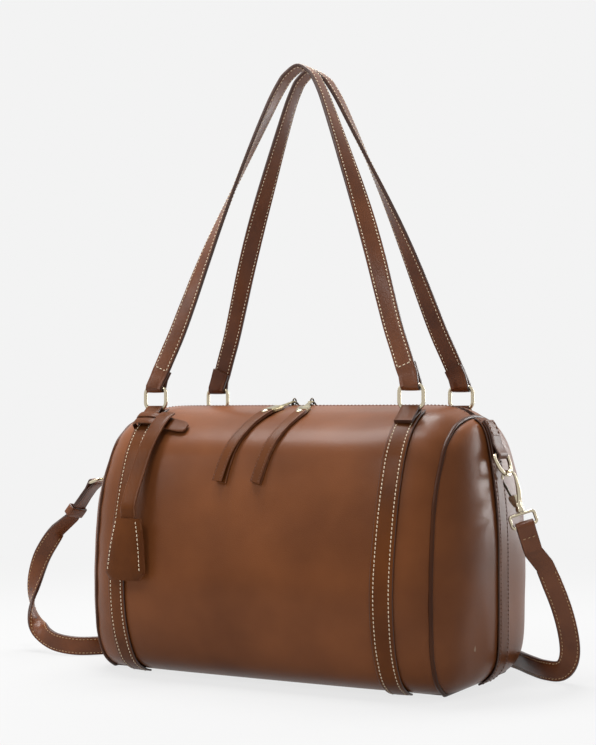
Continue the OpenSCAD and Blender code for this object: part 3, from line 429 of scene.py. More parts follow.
TWILL = Weave("lining_twill", "#9a7a58", "#7c5f42", 1.1, slant=0.78)
BRASS = Metal("antique_brass", "#b59650", "#684f24")
PALE_BRASS = Metal("pale_brass", "#a89c78", "#6a5d40", roughness=0.3)
BRONZE = Metal("dark_bronze", "#5b5044", "#2e2822", roughness=0.3)
FIBRE = Board("fibreboard")


# Mesh making


@dataclass
class Spot:
    """A place along a strap: its point, the way its width lies and the way its face looks."""

    at: Vector
    wide: Vector
    face: Vector
    width: float
    thick: float


class Shape:
    """Gathers points in millimetres and faces, then becomes one object that rides on a body."""

    def __init__(self) -> None:
        """Starts empty."""
        self.points: list[Vector] = []
        self.faces: list[tuple[int, ...]] = []
        self.marks: list[int] = []

    def _add(self, points: Sequence[Vector]) -> int:
        """Adds points and returns the number of the first."""
        start = len(self.points)
        self.points.extend(points)
        return start

    def tube(self, rings: Sequence[Ring], marks: Optional[Sequence[int]] = None, closed: bool = False,
             cap: int = 0) -> "Shape":
        """Adds a closed tube through rings of points.

        Args:
            rings: Rings with one number of points each.
            marks: Material number of each side strip, or None for the first material.
            closed: Whether the last ring joins the first.
            cap: Material number of the end faces.

        Returns:
            This shape.
        """
        size = len(rings[0])
        start = self._add([p for ring in rings for p in ring])
        spans = len(rings) if closed else len(rings) - 1
        for i in range(spans):
            a, b = start + i * size, start + ((i + 1) % len(rings)) * size
            for j in range(size):
                k = (j + 1) % size
                self.faces.append((a + j, a + k, b + k, b + j))
                self.marks.append(marks[j] if marks else 0)
        if not closed:
            self.faces.append(tuple(start + j for j in reversed(range(size))))
            self.faces.append(tuple(start + (len(rings) - 1) * size + j for j in range(size)))
            self.marks += [cap, cap]
        return self

    def shell(self, outer: Sequence[Ring], inner: Sequence[Ring],
              marks: tuple[int, int, int] = (0, 1, 2)) -> "Shape":
        """Adds a closed sheet between two grids of points.

        Args:
            outer: Rows of points on the seen side.
            inner: Rows of points behind them.
            marks: Material numbers of the seen side, the back and the rim.

        Returns:
            This shape.
        """
        rows, cols = len(outer), len(outer[0])
        a = self._add([p for row in outer for p in row])
        b = self._add([p for row in inner for p in row])
        for i in range(rows - 1):
            for j in range(cols - 1):
                k = i * cols + j
                quad = (k, k + 1, k + cols + 1, k + cols)
                self.faces.append(tuple(a + q for q in quad))
                self.faces.append(tuple(b + q for q in reversed(quad)))
                self.marks += [marks[0], marks[1]]
        border = ([(i * cols, (i + 1) * cols) for i in range(rows - 1)]
                  + [((i + 1) * cols - 1, (i + 2) * cols - 1) for i in range(rows - 1)]
                  + [(j, j + 1) for j in range(cols - 1)]
                  + [((rows - 1) * cols + j, (rows - 1) * cols + j + 1) for j in range(cols - 1)])
        for p, q in border:
            self.faces.append((a + p, a + q, b + q, b + p))
            self.marks.append(marks[2])
        return self

    def strap(self, spots: Sequence[Spot], outline: Callable[[float, float], Outline],
              cap: int = 1) -> "Shape":
        """Sweeps a strap's outline along its spots.

        Args:
            spots: Places along the strap.
            outline: Gives the outline for a width and thickness.
            cap: Material number of the cut ends.

        Returns:
            This shape.
        """
        rings = [[s.at + s.wide * u + s.face * h for u, h, _ in outline(s.width, s.thick)] for s in spots]
        marks = [m for _, _, m in outline(spots[0].width, spots[0].thick)]
        return self.tube(rings, marks, cap=cap)

    def wire(self, path: Sequence[Vector], radii: Sequence[float], closed: bool = False, sides: int = 14,
             flat: float = 1.0, side: Vector = DEPTHWISE) -> "Shape":
        """Sweeps a round or flattened bar along a path.

        Args:
            path: The bar's middle line.
            radii: Radius at each point.
            closed: Whether it runs in a loop.
            sides: Points round the bar.
            flat: How many times as wide it is along side as across it.
            side: A direction that lies square to the path.

        Returns:
            This shape.
        """
        rings = []
        for p, w, r in zip(path, ways(path, closed), radii):
            u = square_to(side, w)
            v = w.cross(u)
            rings.append([p + u * (r * flat * math.cos(a)) + v * (r * math.sin(a)) for a in circle(sides)])
        return self.tube(rings, closed=closed)

    def prism(self, outline: Sequence[tuple[float, float]], low: float, high: float, bevel: float,
              place: Callable[[Vector], Vector], steps: int = 3) -> "Shape":
        """Adds a plate with rounded rims.

        Args:
            outline: The plate's outline, turning left about its middle.
            low: Its lower face.
            high: Its upper face.
            bevel: Radius of its rims.
            place: Turns a point of the plate's own frame into the bag's frame.
            steps: Number of steps in a rim.

        Returns:
            This shape.
        """
        cx = sum(p[0] for p in outline) / len(outline)
        cy = sum(p[1] for p in outline) / len(outline)
        reach = max(math.hypot(p[0] - cx, p[1] - cy) for p in outline)
        turns = [math.pi / 2 * k / steps for k in range(steps + 1)]
        levels = ([(low + bevel * (1 - math.sin(a)), bevel * (1 - math.cos(a))) for a in reversed(turns)]
                  + [(high - bevel * (1 - math.sin(a)), bevel * (1 - math.cos(a))) for a in turns])
        rings = [[place(Vector((cx + (x - cx) * (1 - inset / reach), cy + (y - cy) * (1 - inset / reach), z)))
                  for x, y in outline] for z, inset in levels]
        return self.tube(rings)

    def lathe(self, profile: Sequence[tuple[float, float]], place: Callable[[Vector], Vector],
              sides: int = 28) -> "Shape":
        """Turns a profile of radius and height about the local Z axis."""
        return self.tube([[place(Vector((r * math.cos(a), r * math.sin(a), z))) for a in circle(sides)]
                          for r, z in profile])

    def sew(self, line: Sequence[Vector], normals: Sequence[Vector], pitch: float = 3.0,
            radius: float = THREAD_RADIUS) -> "Shape":
        """Adds a row of stitches: each a short arched length of thread that dips in at both ends.

        Args:
            line: Points on the leather's surface along the row.
            normals: The surface's outward direction at those points.
            pitch: Distance from stitch to stitch.
            radius: Half the thickness of the thread.

        Returns:
            This shape.
        """
        lengths = [0.0]
        for a, b in zip(line, line[1:]):
            lengths.append(lengths[-1] + (b - a).length)
        count = max(int(lengths[-1] / pitch), 1)
        step = lengths[-1] / count
        half = step * STITCH_SHARE
        k = 0
        for n in range(count):
            want = (n + 0.5) * step
            while k < len(lengths) - 2 and lengths[k + 1] < want:
                k += 1
            part = (want - lengths[k]) / max(lengths[k + 1] - lengths[k], 1e-6)
            at = mix(line[k], line[k + 1], part)
            up = mix(normals[k], normals[k + 1], part).normalized()
            way = (line[k + 1] - line[k]).normalized()
            cross = up.cross(way).normalized()
            way = (way + cross * STITCH_SLANT).normalized()
            self.tube([[at + way * (s * half) + up * (h * radius) + cross * (radius * g * math.cos(a))
                        + up * (radius * g * math.sin(a)) for a in circle(THREAD_SIDES)]
                       for s, g, h in STITCH])
        return self

    def sew_edges(self, run: Sequence[Spot], inset: float, radius: float = THREAD_RADIUS) -> "Shape":
        """Sews a row along both edges of a strap, on both its faces."""
        for face in (-1, 1):
            for side in (-1, 1):
                line = [s.at + s.wide * (side * (s.width / 2 - inset)) + s.face * (face * (s.thick / 2))
                        for s in run]
                self.sew(line, [s.face * face for s in run], radius=radius)
        return self

    def sew_across(self, spot: Spot, reach: float) -> "Shape":
        """Sews a short row across a strap at one place, on both its faces."""
        for face in (-1, 1):
            off = spot.face * (face * (spot.thick / 2 + 0.15))
            self.sew([spot.at + spot.wide * u + off for u in (-reach, 0, reach)], [spot.face * face] * 3)
        return self

    def build(self, name: str, finishes: Sequence[Finish], body: str, slot: str, replaces: Sequence[str] = (),
              flip: tuple[int, int] = (1, 1), sharp: float = 45.0) -> bpy.types.Object:
        """Makes the object and gives it to its body.

        Args:
            name: The object's name.
            finishes: One finish for each material number.
            body: The body that it rides on.
            slot: The record's material slot; not used.
            replaces: CAD nodes that it stands for.
            flip: Mirror signs along X and Y.
            sharp: Angle in degrees above which an edge is shaded sharp.

        Returns:
            The new object.
        """
        mesh = bpy.data.meshes.new(name)
        corners = [(p.x * MM * flip[0], p.y * MM * flip[1], p.z * MM) for p in self.points]
        mesh.from_pydata(corners, [], self.faces)
        mesh.polygons.foreach_set("material_index", self.marks)
        work = bmesh.new()
        work.from_mesh(mesh)
        bmesh.ops.remove_doubles(work, verts=work.verts, dist=1e-6)
        bmesh.ops.recalc_face_normals(work, faces=work.faces)
        work.to_mesh(mesh)
        work.free()
        mesh.polygons.foreach_set("use_smooth", [True] * len(mesh.polygons))
        mesh.set_sharp_from_angle(angle=math.radians(sharp))
        for finish in finishes:
            mesh.materials.append(finish.material())
        piece = bpy.data.objects.new(name, mesh)
        bpy.context.scene.collection.objects.link(piece)
        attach(piece, body)
        if replaces:
            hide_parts(*replaces)
        log.info("%s: %d points, rides on %s", name, len(mesh.vertices), body)
        return piece


def strap_outline(groove: float = 0.0, crown: float = 0.2, edge: float = 0.45, sunk: float = 0.18
                  ) -> Callable[[float, float], Outline]:
    """Makes the outline of a strap: crowned faces, sewn grooves and round painted edges.

    Args:
        groove: Distance of the sewn rows from the edges, or nought for none.
        crown: Rise of the faces in the middle.
        edge: How far the painted edge reaches in.
        sunk: Depth of the sewn rows.

    Returns:
        A function of width and thickness that gives points across and up, with a material
        number for the strip that starts at each.
    """

    def outline(width: float, thick: float) -> Outline:
        half = width / 2
        stops = [-half + edge, -half / 2, 0.0, half / 2, half - edge]
        if groove:
            for sign in (-1, 1):
                row = sign * (half - groove)
                stops += [row - GROOVE_REACH, row, row + GROOVE_REACH]
        stops = sorted(stops)

        def height(u: float) -> float:
            dip = max(0.0, 1 - abs(abs(u) - (half - groove)) / GROOVE_FALL) if groove else 0.0
            return thick / 2 + crown * (1 - (u / half) ** 2) - sunk * dip

        top = [(u, height(u), 0) for u in stops]
        top[-1] = (top[-1][0], top[-1][1], 1)
        arc = [(half - edge + edge * math.cos(a), thick / 2 * math.sin(a), 1)
               for a in (math.radians(d) for d in (55, 25, 0, -25, -55))]
        under = [(-u, -h, m) for u, h, m in top]
        left = [(-u, -h, m) for u, h, m in arc]
        return top + arc + under + left

    return outline


# The bag's form


@dataclass(frozen=True)
class BarrelForm:
    """The bag's outer form.

    Its sizes and shares are those of the part's source, but for the ends' fuller bulge, the top
    edge's rounder shoulder and the slackness of the front and back between the strips.
    """

    length: float = 280.0
    height: float = 205.0
    depth: float = 204.0
    end_height: float = 196.0
    end_depth: float = 164.0
    base: float = 114.0
    bulge: float = 21.0
    slot: float = 10.0
    pipe: float = 3.2
    wall: float = 2.2
    sag: float = 2.2
    sag_reach: float = 102.0
    sag_shares: tuple = (0, 0.7, 1, 0.8, 0.45, 0.2, 0)
    mid_upper: tuple = ((0, 1), (.183, .994), (.355, .98), (.505, .948), (.634, .9), (.742, .834),
                        (.817, .741), (.892, .624), (.962, .488), (1, .366))
    end_upper: tuple = ((0, 1), (.195, .99), (.403, .967), (.545, .934), (.675, .89), (.779, .821),
                        (.87, .745), (.935, .653), (.98, .51), (1, .367))
    mid_lower: tuple = ((.951, .244), (.817, .146), (.61, .063), (.317, .02), (0, .005))
    end_lower: tuple = ((.98, .255), (.9, .153), (.64, .071), (.32, .031), (0, .008))

    @property
    def seam(self) -> float:
        """Distance of the piped seams from the middle."""
        return self.length / 2

    @property
    def last(self) -> int:
        """Place of the base edge down the profile."""
        return len(self.mid_upper) + len(self.mid_lower) - 1

    def bow(self, x: float) -> float:
        """Share of the way from the middle profile to the end profile."""
        s = abs(x) / self.seam
        return 0.15 * s ** 2 + 0.85 * s ** 8

    def top(self, x: float) -> float:
        """Height of the zip edge."""
        return mix(self.height, self.end_height, (abs(x) / self.seam) ** 16)

    def corner(self, x: float, i: int) -> tuple[float, float]:
        """Depth and height of corner i of the profile at station x."""
        k = min(max(i, 0), self.last)
        low = k >= len(self.mid_upper)
        j = k - len(self.mid_upper)
        m = self.mid_lower[j] if low else self.mid_upper[k]
        e = self.end_lower[j] if low else self.end_upper[k]
        w = self.bow(x)
        start = self.base / 2 if low else self.slot / 2
        half = mix(self.depth, self.end_depth, w) / 2
        share = self.sag_shares[min(k, len(self.sag_shares) - 1)]
        slack = self.sag * (1 - min(abs(x) / self.sag_reach, 1.0) ** 8) * share
        return mix(start, half, mix(m[0], e[0], w)), mix(m[1], e[1], w) * self.top(x) - slack

    def profile(self, x: float, t: float) -> tuple[float, float]:
        """Depth and height on the smooth profile at station x and place t."""
        i = min(int(t), self.last - 1)
        k = t - i
        a, b, c, d = (self.corner(x, i + n) for n in (-1, 0, 1, 2))
        return tuple(b[n] + (c[n] - a[n]) * k / 2 + (2 * a[n] - 5 * b[n] + 4 * c[n] - d[n]) * k * k / 2
                     + (3 * b[n] - a[n] - 3 * c[n] + d[n]) * k ** 3 / 2 for n in (0, 1))

    def raw(self, x: float, t: float) -> Vector:
        """Point of the front."""
        y, z = self.profile(x, t)
        return Vector((x, -y, z))

    def out(self, x: float, t: float) -> Vector:
        """Outward direction of the front."""
        a, b = self.raw(x, max(t - 0.1, 0)), self.raw(x, min(t + 0.1, self.last))
        c, d = self.raw(x - 0.5, t), self.raw(x + 0.5, t)
        return (b - a).cross(d - c).normalized()

    def front(self, x: float, t: float, lift: float = 0.0) -> Vector:
        """Point lifted off the front along its outward direction."""
        return self.raw(x, t) + self.out(x, t) * lift

    def fullness(self, u: float, z: float) -> float:
        """How far an end panel has swollen out, as a share, at a place across and up."""
        mid = self.end_height / 2
        v = min(max((z - mid) / mid, -1.0), 1.0)
        rise = 1 - abs(v) ** 12 if v < 0 else 1 - 0.6 * v ** 2 - 0.4 * v ** 24
        return (1 - abs(u) ** 5) * rise

    def end_raw(self, u: float, t: float) -> Vector:
        """Point of the right end panel at share u across and place t down."""
        y, z = self.profile(self.seam, t)
        rim, inset, mid = self.seam + 1.2, 0.9, self.end_height / 2
        reach = self.seam + self.bulge - rim
        return Vector((rim + reach * self.fullness(u, z), u * (y - inset), mix(mid, z, 1 - inset / mid)))

    def end_out(self, u: float, t: float) -> Vector:
        """Outward direction of the right end panel."""
        a, b = self.end_raw(u, max(t - 0.1, 0)), self.end_raw(u, min(t + 0.1, self.last))
        c, d = self.end_raw(max(u - 0.01, -1), t), self.end_raw(min(u + 0.01, 1), t)
        return (d - c).cross(a - b).normalized()

    def end(self, y: float, t: float, lift: float = 0.0) -> Vector:
        """Point of the right end, at distance y from its middle, lifted along its outward direction."""
        half = self.profile(self.seam, t)[0] - 0.9
        u = min(max(y / half, -1.0), 1.0)
        return self.end_raw(u, t) + self.end_out(u, t) * lift


FORM = BarrelForm()


def soften(p: Vector, seed: float, size: float = 0.7) -> float:
    """Returns the gentle hand-made unevenness of a stuffed leather panel at a point.

    Args:
        p: A place on the panel.
        seed: Keeps one panel unlike another.
        size: Depth of the unevenness.

    Returns:
        How far the surface stands out there.
    """
    q = Vector((p.x / 75 + seed, p.y / 60, p.z / 60))
    fine = Vector((p.x / 26, p.y / 22 + seed, p.z / 24))
    return size * noise.noise(q) + size * 0.22 * noise.noise(fine)


@dataclass
class BodyPanels:
    """Front, back, base and end panels with their piped seams."""

    edge_x: float = 139.4
    stations: int = 120
    steps: int = 6
    pucker_mm: float = 9.0
    cord_low: float = 1.95
    base_half: tuple = (138.4, 56.6)

    def side_grid(self, seed: float, lift: float) -> list[Ring]:
        """Returns rows of points of a side panel, lifted by an amount."""
        rows = []
        for i in range(self.stations + 1):
            s = 2 * i / self.stations - 1
            x = self.edge_x * math.copysign(abs(s) ** 0.8, s)
            row = []
            for k in range(FORM.last * self.steps + 1):
                t = k / self.steps
                p = FORM.raw(x, t)
                near = math.exp(-(self.edge_x - abs(x)) / 9)
                rim = (smooth_share((self.edge_x - abs(x)) / 14) * smooth_share((t - 0.2) / 1.5)
                       * smooth_share((13.6 - t) / 2))
                pucker = 0.22 * near * math.sin(p.z / self.pucker_mm * 2.3 + p.y / 7 + seed * 5)
                row.append(p + FORM.out(x, t) * (lift + soften(p, seed) * rim + pucker))
            rows.append(row)
        return rows

    def end_grid(self, seed: float, lift: float) -> list[Ring]:
        """Returns rows of points of the right end panel, lifted by an amount."""
        rows = []
        for i in range(61):
            s = 2 * i / 60 - 1
            u = math.copysign(1 - (1 - abs(s)) ** 1.5, s)
            row = []
            for k in range(FORM.last * self.steps + 1):
                t = k / self.steps
                p = FORM.end_raw(u, t)
                rim = (smooth_share((1 - abs(u)) * 4) * smooth_share((t - 0.4) / 2)
                       * smooth_share((14 - t) / 2))
                dent = -2.6 * math.exp(-((p.y + 46) / 20) ** 2 - ((p.z - 34) / 26) ** 2)
                pucker = 0.3 * math.exp(-(1 - abs(u)) * 12) * math.sin(p.z / 4.1 + seed)
                n = FORM.end_out(u, t)
                row.append(p + n * (lift + (soften(p, seed, 1.1) + dent) * rim + pucker))
            rows.append(row)
        return rows

    def build(self) -> None:
        """Makes the five panels and the two piped seams."""
        hide = (HIDE, FLESH, PAINT)
        for name, flip, seed in (("front", (1, 1), 0.0), ("back", (1, -1), 4.3)):
            panel = Shape().shell(self.side_grid(seed, 0.0), self.side_grid(seed, -FORM.wall))
            panel.build(name + "_panel_hide", hide, "bag", "body_leather", [name + "_panel"], flip)
        for name, flip, seed in (("right", (1, 1), 2.1), ("left", (-1, 1), 7.7)):
            panel = Shape().shell(self.end_grid(seed, 0.0), self.end_grid(seed, -FORM.wall))
            panel.build(name + "_end_hide", hide, "bag", "body_leather", [name + "_end_panel"], flip)
            cord = self.piping(seed)
            cord.build(name + "_piping_cord", (PIPING,), "bag", "edge_piping", [name + "_piping"], flip)
        self.base().build("base_hide", hide, "bag", "body_leather", ["bottom_panel"])

    def piping(self, seed: float) -> Shape:
        """Returns the leather-covered cord round the right end seam."""
        edge = [FORM.profile(FORM.seam, k / self.steps) for k in range(FORM.last * self.steps + 1)]
        half = [Vector((FORM.seam, -y, max(z, self.cord_low))) for y, z in edge]
        loop = half + mirrored(half, y=-1)
        radii = [FORM.pipe / 2 * (1 + 0.03 * math.sin(i * 0.9 + seed)) for i in range(len(loop))]
        return Shape().wire(loop, radii, closed=True, sides=12, side=ACROSS)

    def base(self) -> Shape:
        """Returns the base panel, which sags a little between its seams, with raised rims."""
        half_x, half_y = self.base_half
        outer, inner = [], []
        for i in range(49):
            x = mix(-half_x, half_x, i / 48)
            low, high = [], []
            for j in range(25):
                y = mix(-half_y, half_y, j / 24)
                rim = max(abs(x) / half_x, abs(y) / half_y) ** 14
                dimple = 0.12 * (1 + noise.noise(Vector((x / 40, y / 30, 3))))
                low.append(Vector((x, y, 0.05 + 0.9 * rim + dimple)))
                high.append(Vector((x, y, FORM.wall)))
            outer.append(low)
            inner.append(high)
        return Shape().shell(outer, inner)


@dataclass
class SideStrips:
    """Sewn strips down the front and back, with the looped tabs that hold the handle rings."""

    middle: float = 110.0
    width: float = 16.0
    thick: float = 1.4
    rows: float = 5.2
    first: float = 2.0
    end: float = 13.6
    tab_thick: float = 1.3
    tab_end: float = 3.45
    tab_width: float = 14.4
    ring_wire: float = 2.4
    lift: float = 0.75
    inner: float = 102.0

    def ring_bar(self) -> tuple[float, float]:
        """Returns the depth and height of the middle of a ring's lower bar."""
        low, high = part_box("front_right_ring")
        return (low.y + high.y) / 2 / MM, low.z / MM + self.ring_wire / 2

    def strip(self) -> Shape:
        """Returns the strip: leather with dark turned edges that stand proud."""
        groove = self.width / 2 - self.rows
        outline = strap_outline(groove=groove, crown=0.1, edge=0.45)(self.width, self.thick)
        rings = []
        for k in range(int((self.end - self.first) * 8) + 1):
            t = self.first + k / 8
            rings.append([FORM.front(self.middle + u, t, self.lift + self.thick / 2 + h)
                          for u, h, _ in outline])
        return Shape().tube(rings, [m for _, _, m in outline], cap=1)

    def stitches(self) -> Shape:
        """Returns the two rows of cream thread."""
        shape = Shape()
        places = [self.first + 1.3 + k / 6 for k in range(int((self.end - self.first - 1.5) * 6) + 1)]
        for side in (-1, 1):
            x = self.middle + side * self.rows
            line = [FORM.front(x, t, self.lift + self.thick + 0.05) for t in places]
            shape.sew(line, [FORM.out(x, t) for t in places])
        return shape

    def tab_line(self) -> list[Vector]:
        """Returns the middle line of the tab's leather in the YZ plane, round the ring bar and down."""
        y, z = self.ring_bar()
        bar = Vector((0, y, z))
        reach = self.ring_wire / 2 + 0.35 + self.tab_thick / 2
        down = [FORM.front(self.inner, t, 2.9) for t in (self.tab_end, 3.2, 3.0)]
        over = [FORM.front(self.inner, t, 4.35) for t in (3.0, 3.2, self.tab_end)]
        normal = FORM.out(self.inner, 2.4)
        start = math.atan2(-normal.z, -normal.y)
        turn = [bar + Vector((0, math.cos(start + a), math.sin(start + a))) * reach
                for a in degrees(0, 211, 15)]
        return [Vector((0, p.y, p.z)) for p in down + turn + over]

    def tab(self) -> Shape:
        """Returns the tab: one strip of leather folded round the ring bar."""
        line = self.tab_line()
        spots = []
        for p, w in zip(line, ways(line)):
            at = Vector((self.middle, p.y, p.z))
            spots.append(Spot(at, ACROSS, ACROSS.cross(w), self.tab_width, self.tab_thick))
        return Shape().strap(spots, strap_outline(crown=0.05, edge=0.5))

    def build(self) -> None:
        """Makes the four strips and tabs."""
        hide = (TRIM, PAINT)
        for front, fy in (("front", 1), ("back", -1)):
            for side, fx in (("left", -1), ("right", 1)):
                name = f"{front}_{side}"
                flip = (fx, fy)
                self.strip().build(name + "_strip_hide", hide, "bag", "trim_leather", [name + "_strip"], flip)
                self.stitches().build(name + "_strip_thread", (CREAM,), "bag", "trim_leather", (), flip)
                self.tab().build(name + "_tab_hide", hide, "bag", "trim_leather", [name + "_tab"], flip)


@dataclass
class EndStrips:
    """Sewn strip down the middle of each end and the boxed tab that holds the D ring."""

    width: float = 20.0
    thick: float = 1.4
    rows: float = 7.2
    tab_width: float = 18.0
    tab_thick: float = 1.3
    wire: float = 2.8
    thread: float = 0.34
    box_half: float = 6.4
    box_lift: float = 4.95

    def bar(self) -> Vector:
        """Returns the middle of the right D ring's bar."""
        low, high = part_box("right_dee_ring")
        return Vector((low.x / MM + self.wire / 2, 0, high.z / MM - self.wire / 2))

    def strip(self) -> Shape:
        """Returns the strip, from the top seam to the base."""
        groove = self.width / 2 - self.rows
        outline = strap_outline(groove=groove, crown=0.1, edge=0.45)(self.width, self.thick)
        rings = [[FORM.end(u, 0.7 + k / 8, 0.3 + self.thick / 2 + h) for u, h, _ in outline]
                 for k in range(int((13.9 - 0.7) * 8) + 1)]
        return Shape().tube(rings, [m for _, _, m in outline], cap=1)

    def row(self, shape: Shape, y: float, places: Sequence[float], lift: float) -> None:
        """Sews a row down the right end at a distance from its middle."""
        normals = [FORM.end(y, t, 1) - FORM.end(y, t) for t in places]
        shape.sew([FORM.end(y, t, lift) for t in places], normals, radius=self.thread)

    def stitches(self) -> Shape:
        """Returns the two rows of brown thread."""
        shape = Shape()
        places = [1.0 + k / 6 for k in range(77)]
        for side in (-1, 1):
            self.row(shape, side * self.rows, places, 0.3 + self.thick + 0.05)
        return shape

    def tab_line(self) -> list[Vector]:
        """Returns the middle line of the tab's leather, round the bar and back up."""
        bar = self.bar()
        reach = self.wire / 2 + 0.35 + self.tab_thick / 2
        down = [FORM.end(0, t, 2.75) for t in (1.6, 2.2, 3.0, 3.6, 4.0)]
        over = [FORM.end(0, t, 4.15) for t in (3.8, 3.4, 3.0, 2.2, 1.6)]
        n = (FORM.end(0, 4.4, 1) - FORM.end(0, 4.4)).normalized()
        start = math.atan2(-n.z, -n.x)
        turn = [bar + Vector((math.cos(start + a), 0, math.sin(start + a))) * reach
                for a in degrees(0, 226, 15)]
        return down + turn + over

    def tab(self) -> Shape:
        """Returns the folded tab."""
        line = self.tab_line()
        spots = [Spot(Vector((p.x, 0, p.z)), DEPTHWISE, w.cross(DEPTHWISE), self.tab_width, self.tab_thick)
                 for p, w in zip(line, ways(line))]
        return Shape().strap(spots, strap_outline(crown=0.05, edge=0.5))

    def tab_stitches(self) -> Shape:
        """Returns the boxed stitching on the tab."""
        shape = Shape()
        for y in (-self.box_half, self.box_half):
            self.row(shape, y, (1.75, 2.2, 2.7, 3.1), self.box_lift)
        for t in (1.75, 3.1):
            line = [FORM.end(y, t, self.box_lift) for y in (-self.box_half, 0, self.box_half)]
            shape.sew(line, [FORM.end(0, t, 1) - FORM.end(0, t)] * 3, radius=self.thread)
        return shape

    def build(self) -> None:
        """Makes both ends."""
        hide = (TRIM, PAINT)
        for side, fx in (("left", -1), ("right", 1)):
            strip, tab, flip = side + "_end_strip", side + "_dee_tab", (fx, 1)
            self.strip().build(strip + "_hide", hide, "bag", "trim_leather", [strip], flip)
            self.stitches().build(strip + "_thread", (BROWN,), "bag", "trim_leather", (), flip)
            self.tab().build(tab + "_hide", hide, "bag", "trim_leather", [tab], flip)
            self.tab_stitches().build(tab + "_thread", (BROWN,), "bag", "trim_leather", (), flip)


@dataclass
class Handles:
    """Two sewn straps, each folded round a pair of rings and turned a quarter on its way up."""

    middle: float = 110.0
    width: float = 15.0
    loop_width: float = 14.4
    thick: float = 2.6
    rise: float = 249.0
    top_y: float = 9.6
    fold: float = 14.0
    ring_wire: float = 2.4
    thread_in: float = 2.0
    shares: tuple = ((0, 1), (.025, .982), (.06, .948), (.1, .912), (.17, .848), (.27, .77), (.375, .69),
                     (.484, .6), (.59, .505), (.69, .41), (.77, .333), (.84, .264), (.9, .203), (.945, .148),
                     (.975, .098), (.993, .05), (1, 0))

    def bar(self) -> tuple[float, float]:
        """Returns the depth and height of the rings' upper bars."""
        low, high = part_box("front_right_ring")
        return (low.y + high.y) / 2 / MM, high.z / MM - self.ring_wire / 2

    def leg(self, v: float, off: float) -> Vector:
        """Returns the point of the left leg at share v of the rise."""
        rows = self.shares
        for (v0, s0), (v1, s1) in zip(rows, rows[1:]):
            if v <= v1:
                share = mix(s0, s1, (v - v0) / (v1 - v0))
                break
        y, z = self.bar()
        return Vector((-self.middle * share, mix(y, -self.top_y, v) + off, z + v * self.rise))

    def spots(self) -> list[Spot]:
        """Returns the places along the strap from one sewn end to the other."""
        y, z = self.bar()
        layer = self.thick / 2 + 0.15
        reach = self.ring_wire / 2 + 0.65 + self.thick / 2
        half = [self.leg(s * self.fold / self.rise, layer) for s in (1, 0.85, 0.7, 0.5)]
        half += [Vector((-self.middle, y + reach * math.cos(a), z + reach * math.sin(a)))
                 for a in degrees(-12, -169, -12)]
        folded = len(half)
        half += [self.leg(s * self.fold / self.rise, -layer) for s in (0.5, 0.7, 0.85, 1)]
        knots = [Vector((self.leg(s, 0).x, self.leg(s, -layer * (1 - s)).y, self.leg(s, 0).z))
                 for s, _ in self.shares if self.fold / self.rise * 1.2 < s < 0.99]
        whole = [half[-1]] + knots + [self.leg(1, 0)] + mirrored([half[-1]] + knots, x=-1)
        arch = catmull(whole, 5)
        other = mirrored(half, x=-1)
        path = half[:-1] + arch + other[1:]
        ends = len(half) - 1
        along = ways(path)
        spots = []
        for i, (p, w) in enumerate(zip(path, along)):
            sign = 1 if i <= (len(path) - 1) / 2 else -1
            loop = i < folded or i > len(path) - 1 - folded
            k = 0.0 if i < ends or i > len(path) - 1 - ends else \
                smooth_share((p.z - z - 2 * self.fold) / (self.rise - 2 * self.fold))
            a = math.radians(90 * k)
            want = ACROSS * sign if loop else ACROSS * (sign * math.cos(a)) - DEPTHWISE * math.sin(a)
            wide = square_to(want, w)
            width = mix(self.loop_width, self.width, smooth_share((p.z - z) / self.fold))
            spots.append(Spot(p, wide, w.cross(wide), width, self.thick))
        self.ends = ends
        return spots

    def build(self) -> None:
        """Makes the two handles and their thread."""
        for name, fy in (("front", 1), ("back", -1)):
            spots = self.spots()
            body = name + "_handle_body"
            Shape().strap(spots, strap_outline(groove=self.thread_in, crown=0.22, edge=0.45)).build(
                name + "_handle_hide", (STRAP_HIDE, PAINT), body, "trim_leather", [name + "_handle"], (1, fy))
            thread = Shape().sew_edges(spots[self.ends:len(spots) - self.ends], self.thread_in)
            for spot in (spots[self.ends], spots[-1 - self.ends]):
                thread.sew_across(spot, 5.4)
            thread.build(name + "_handle_thread", (CREAM,), body, "trim_leather", (), (1, fy))


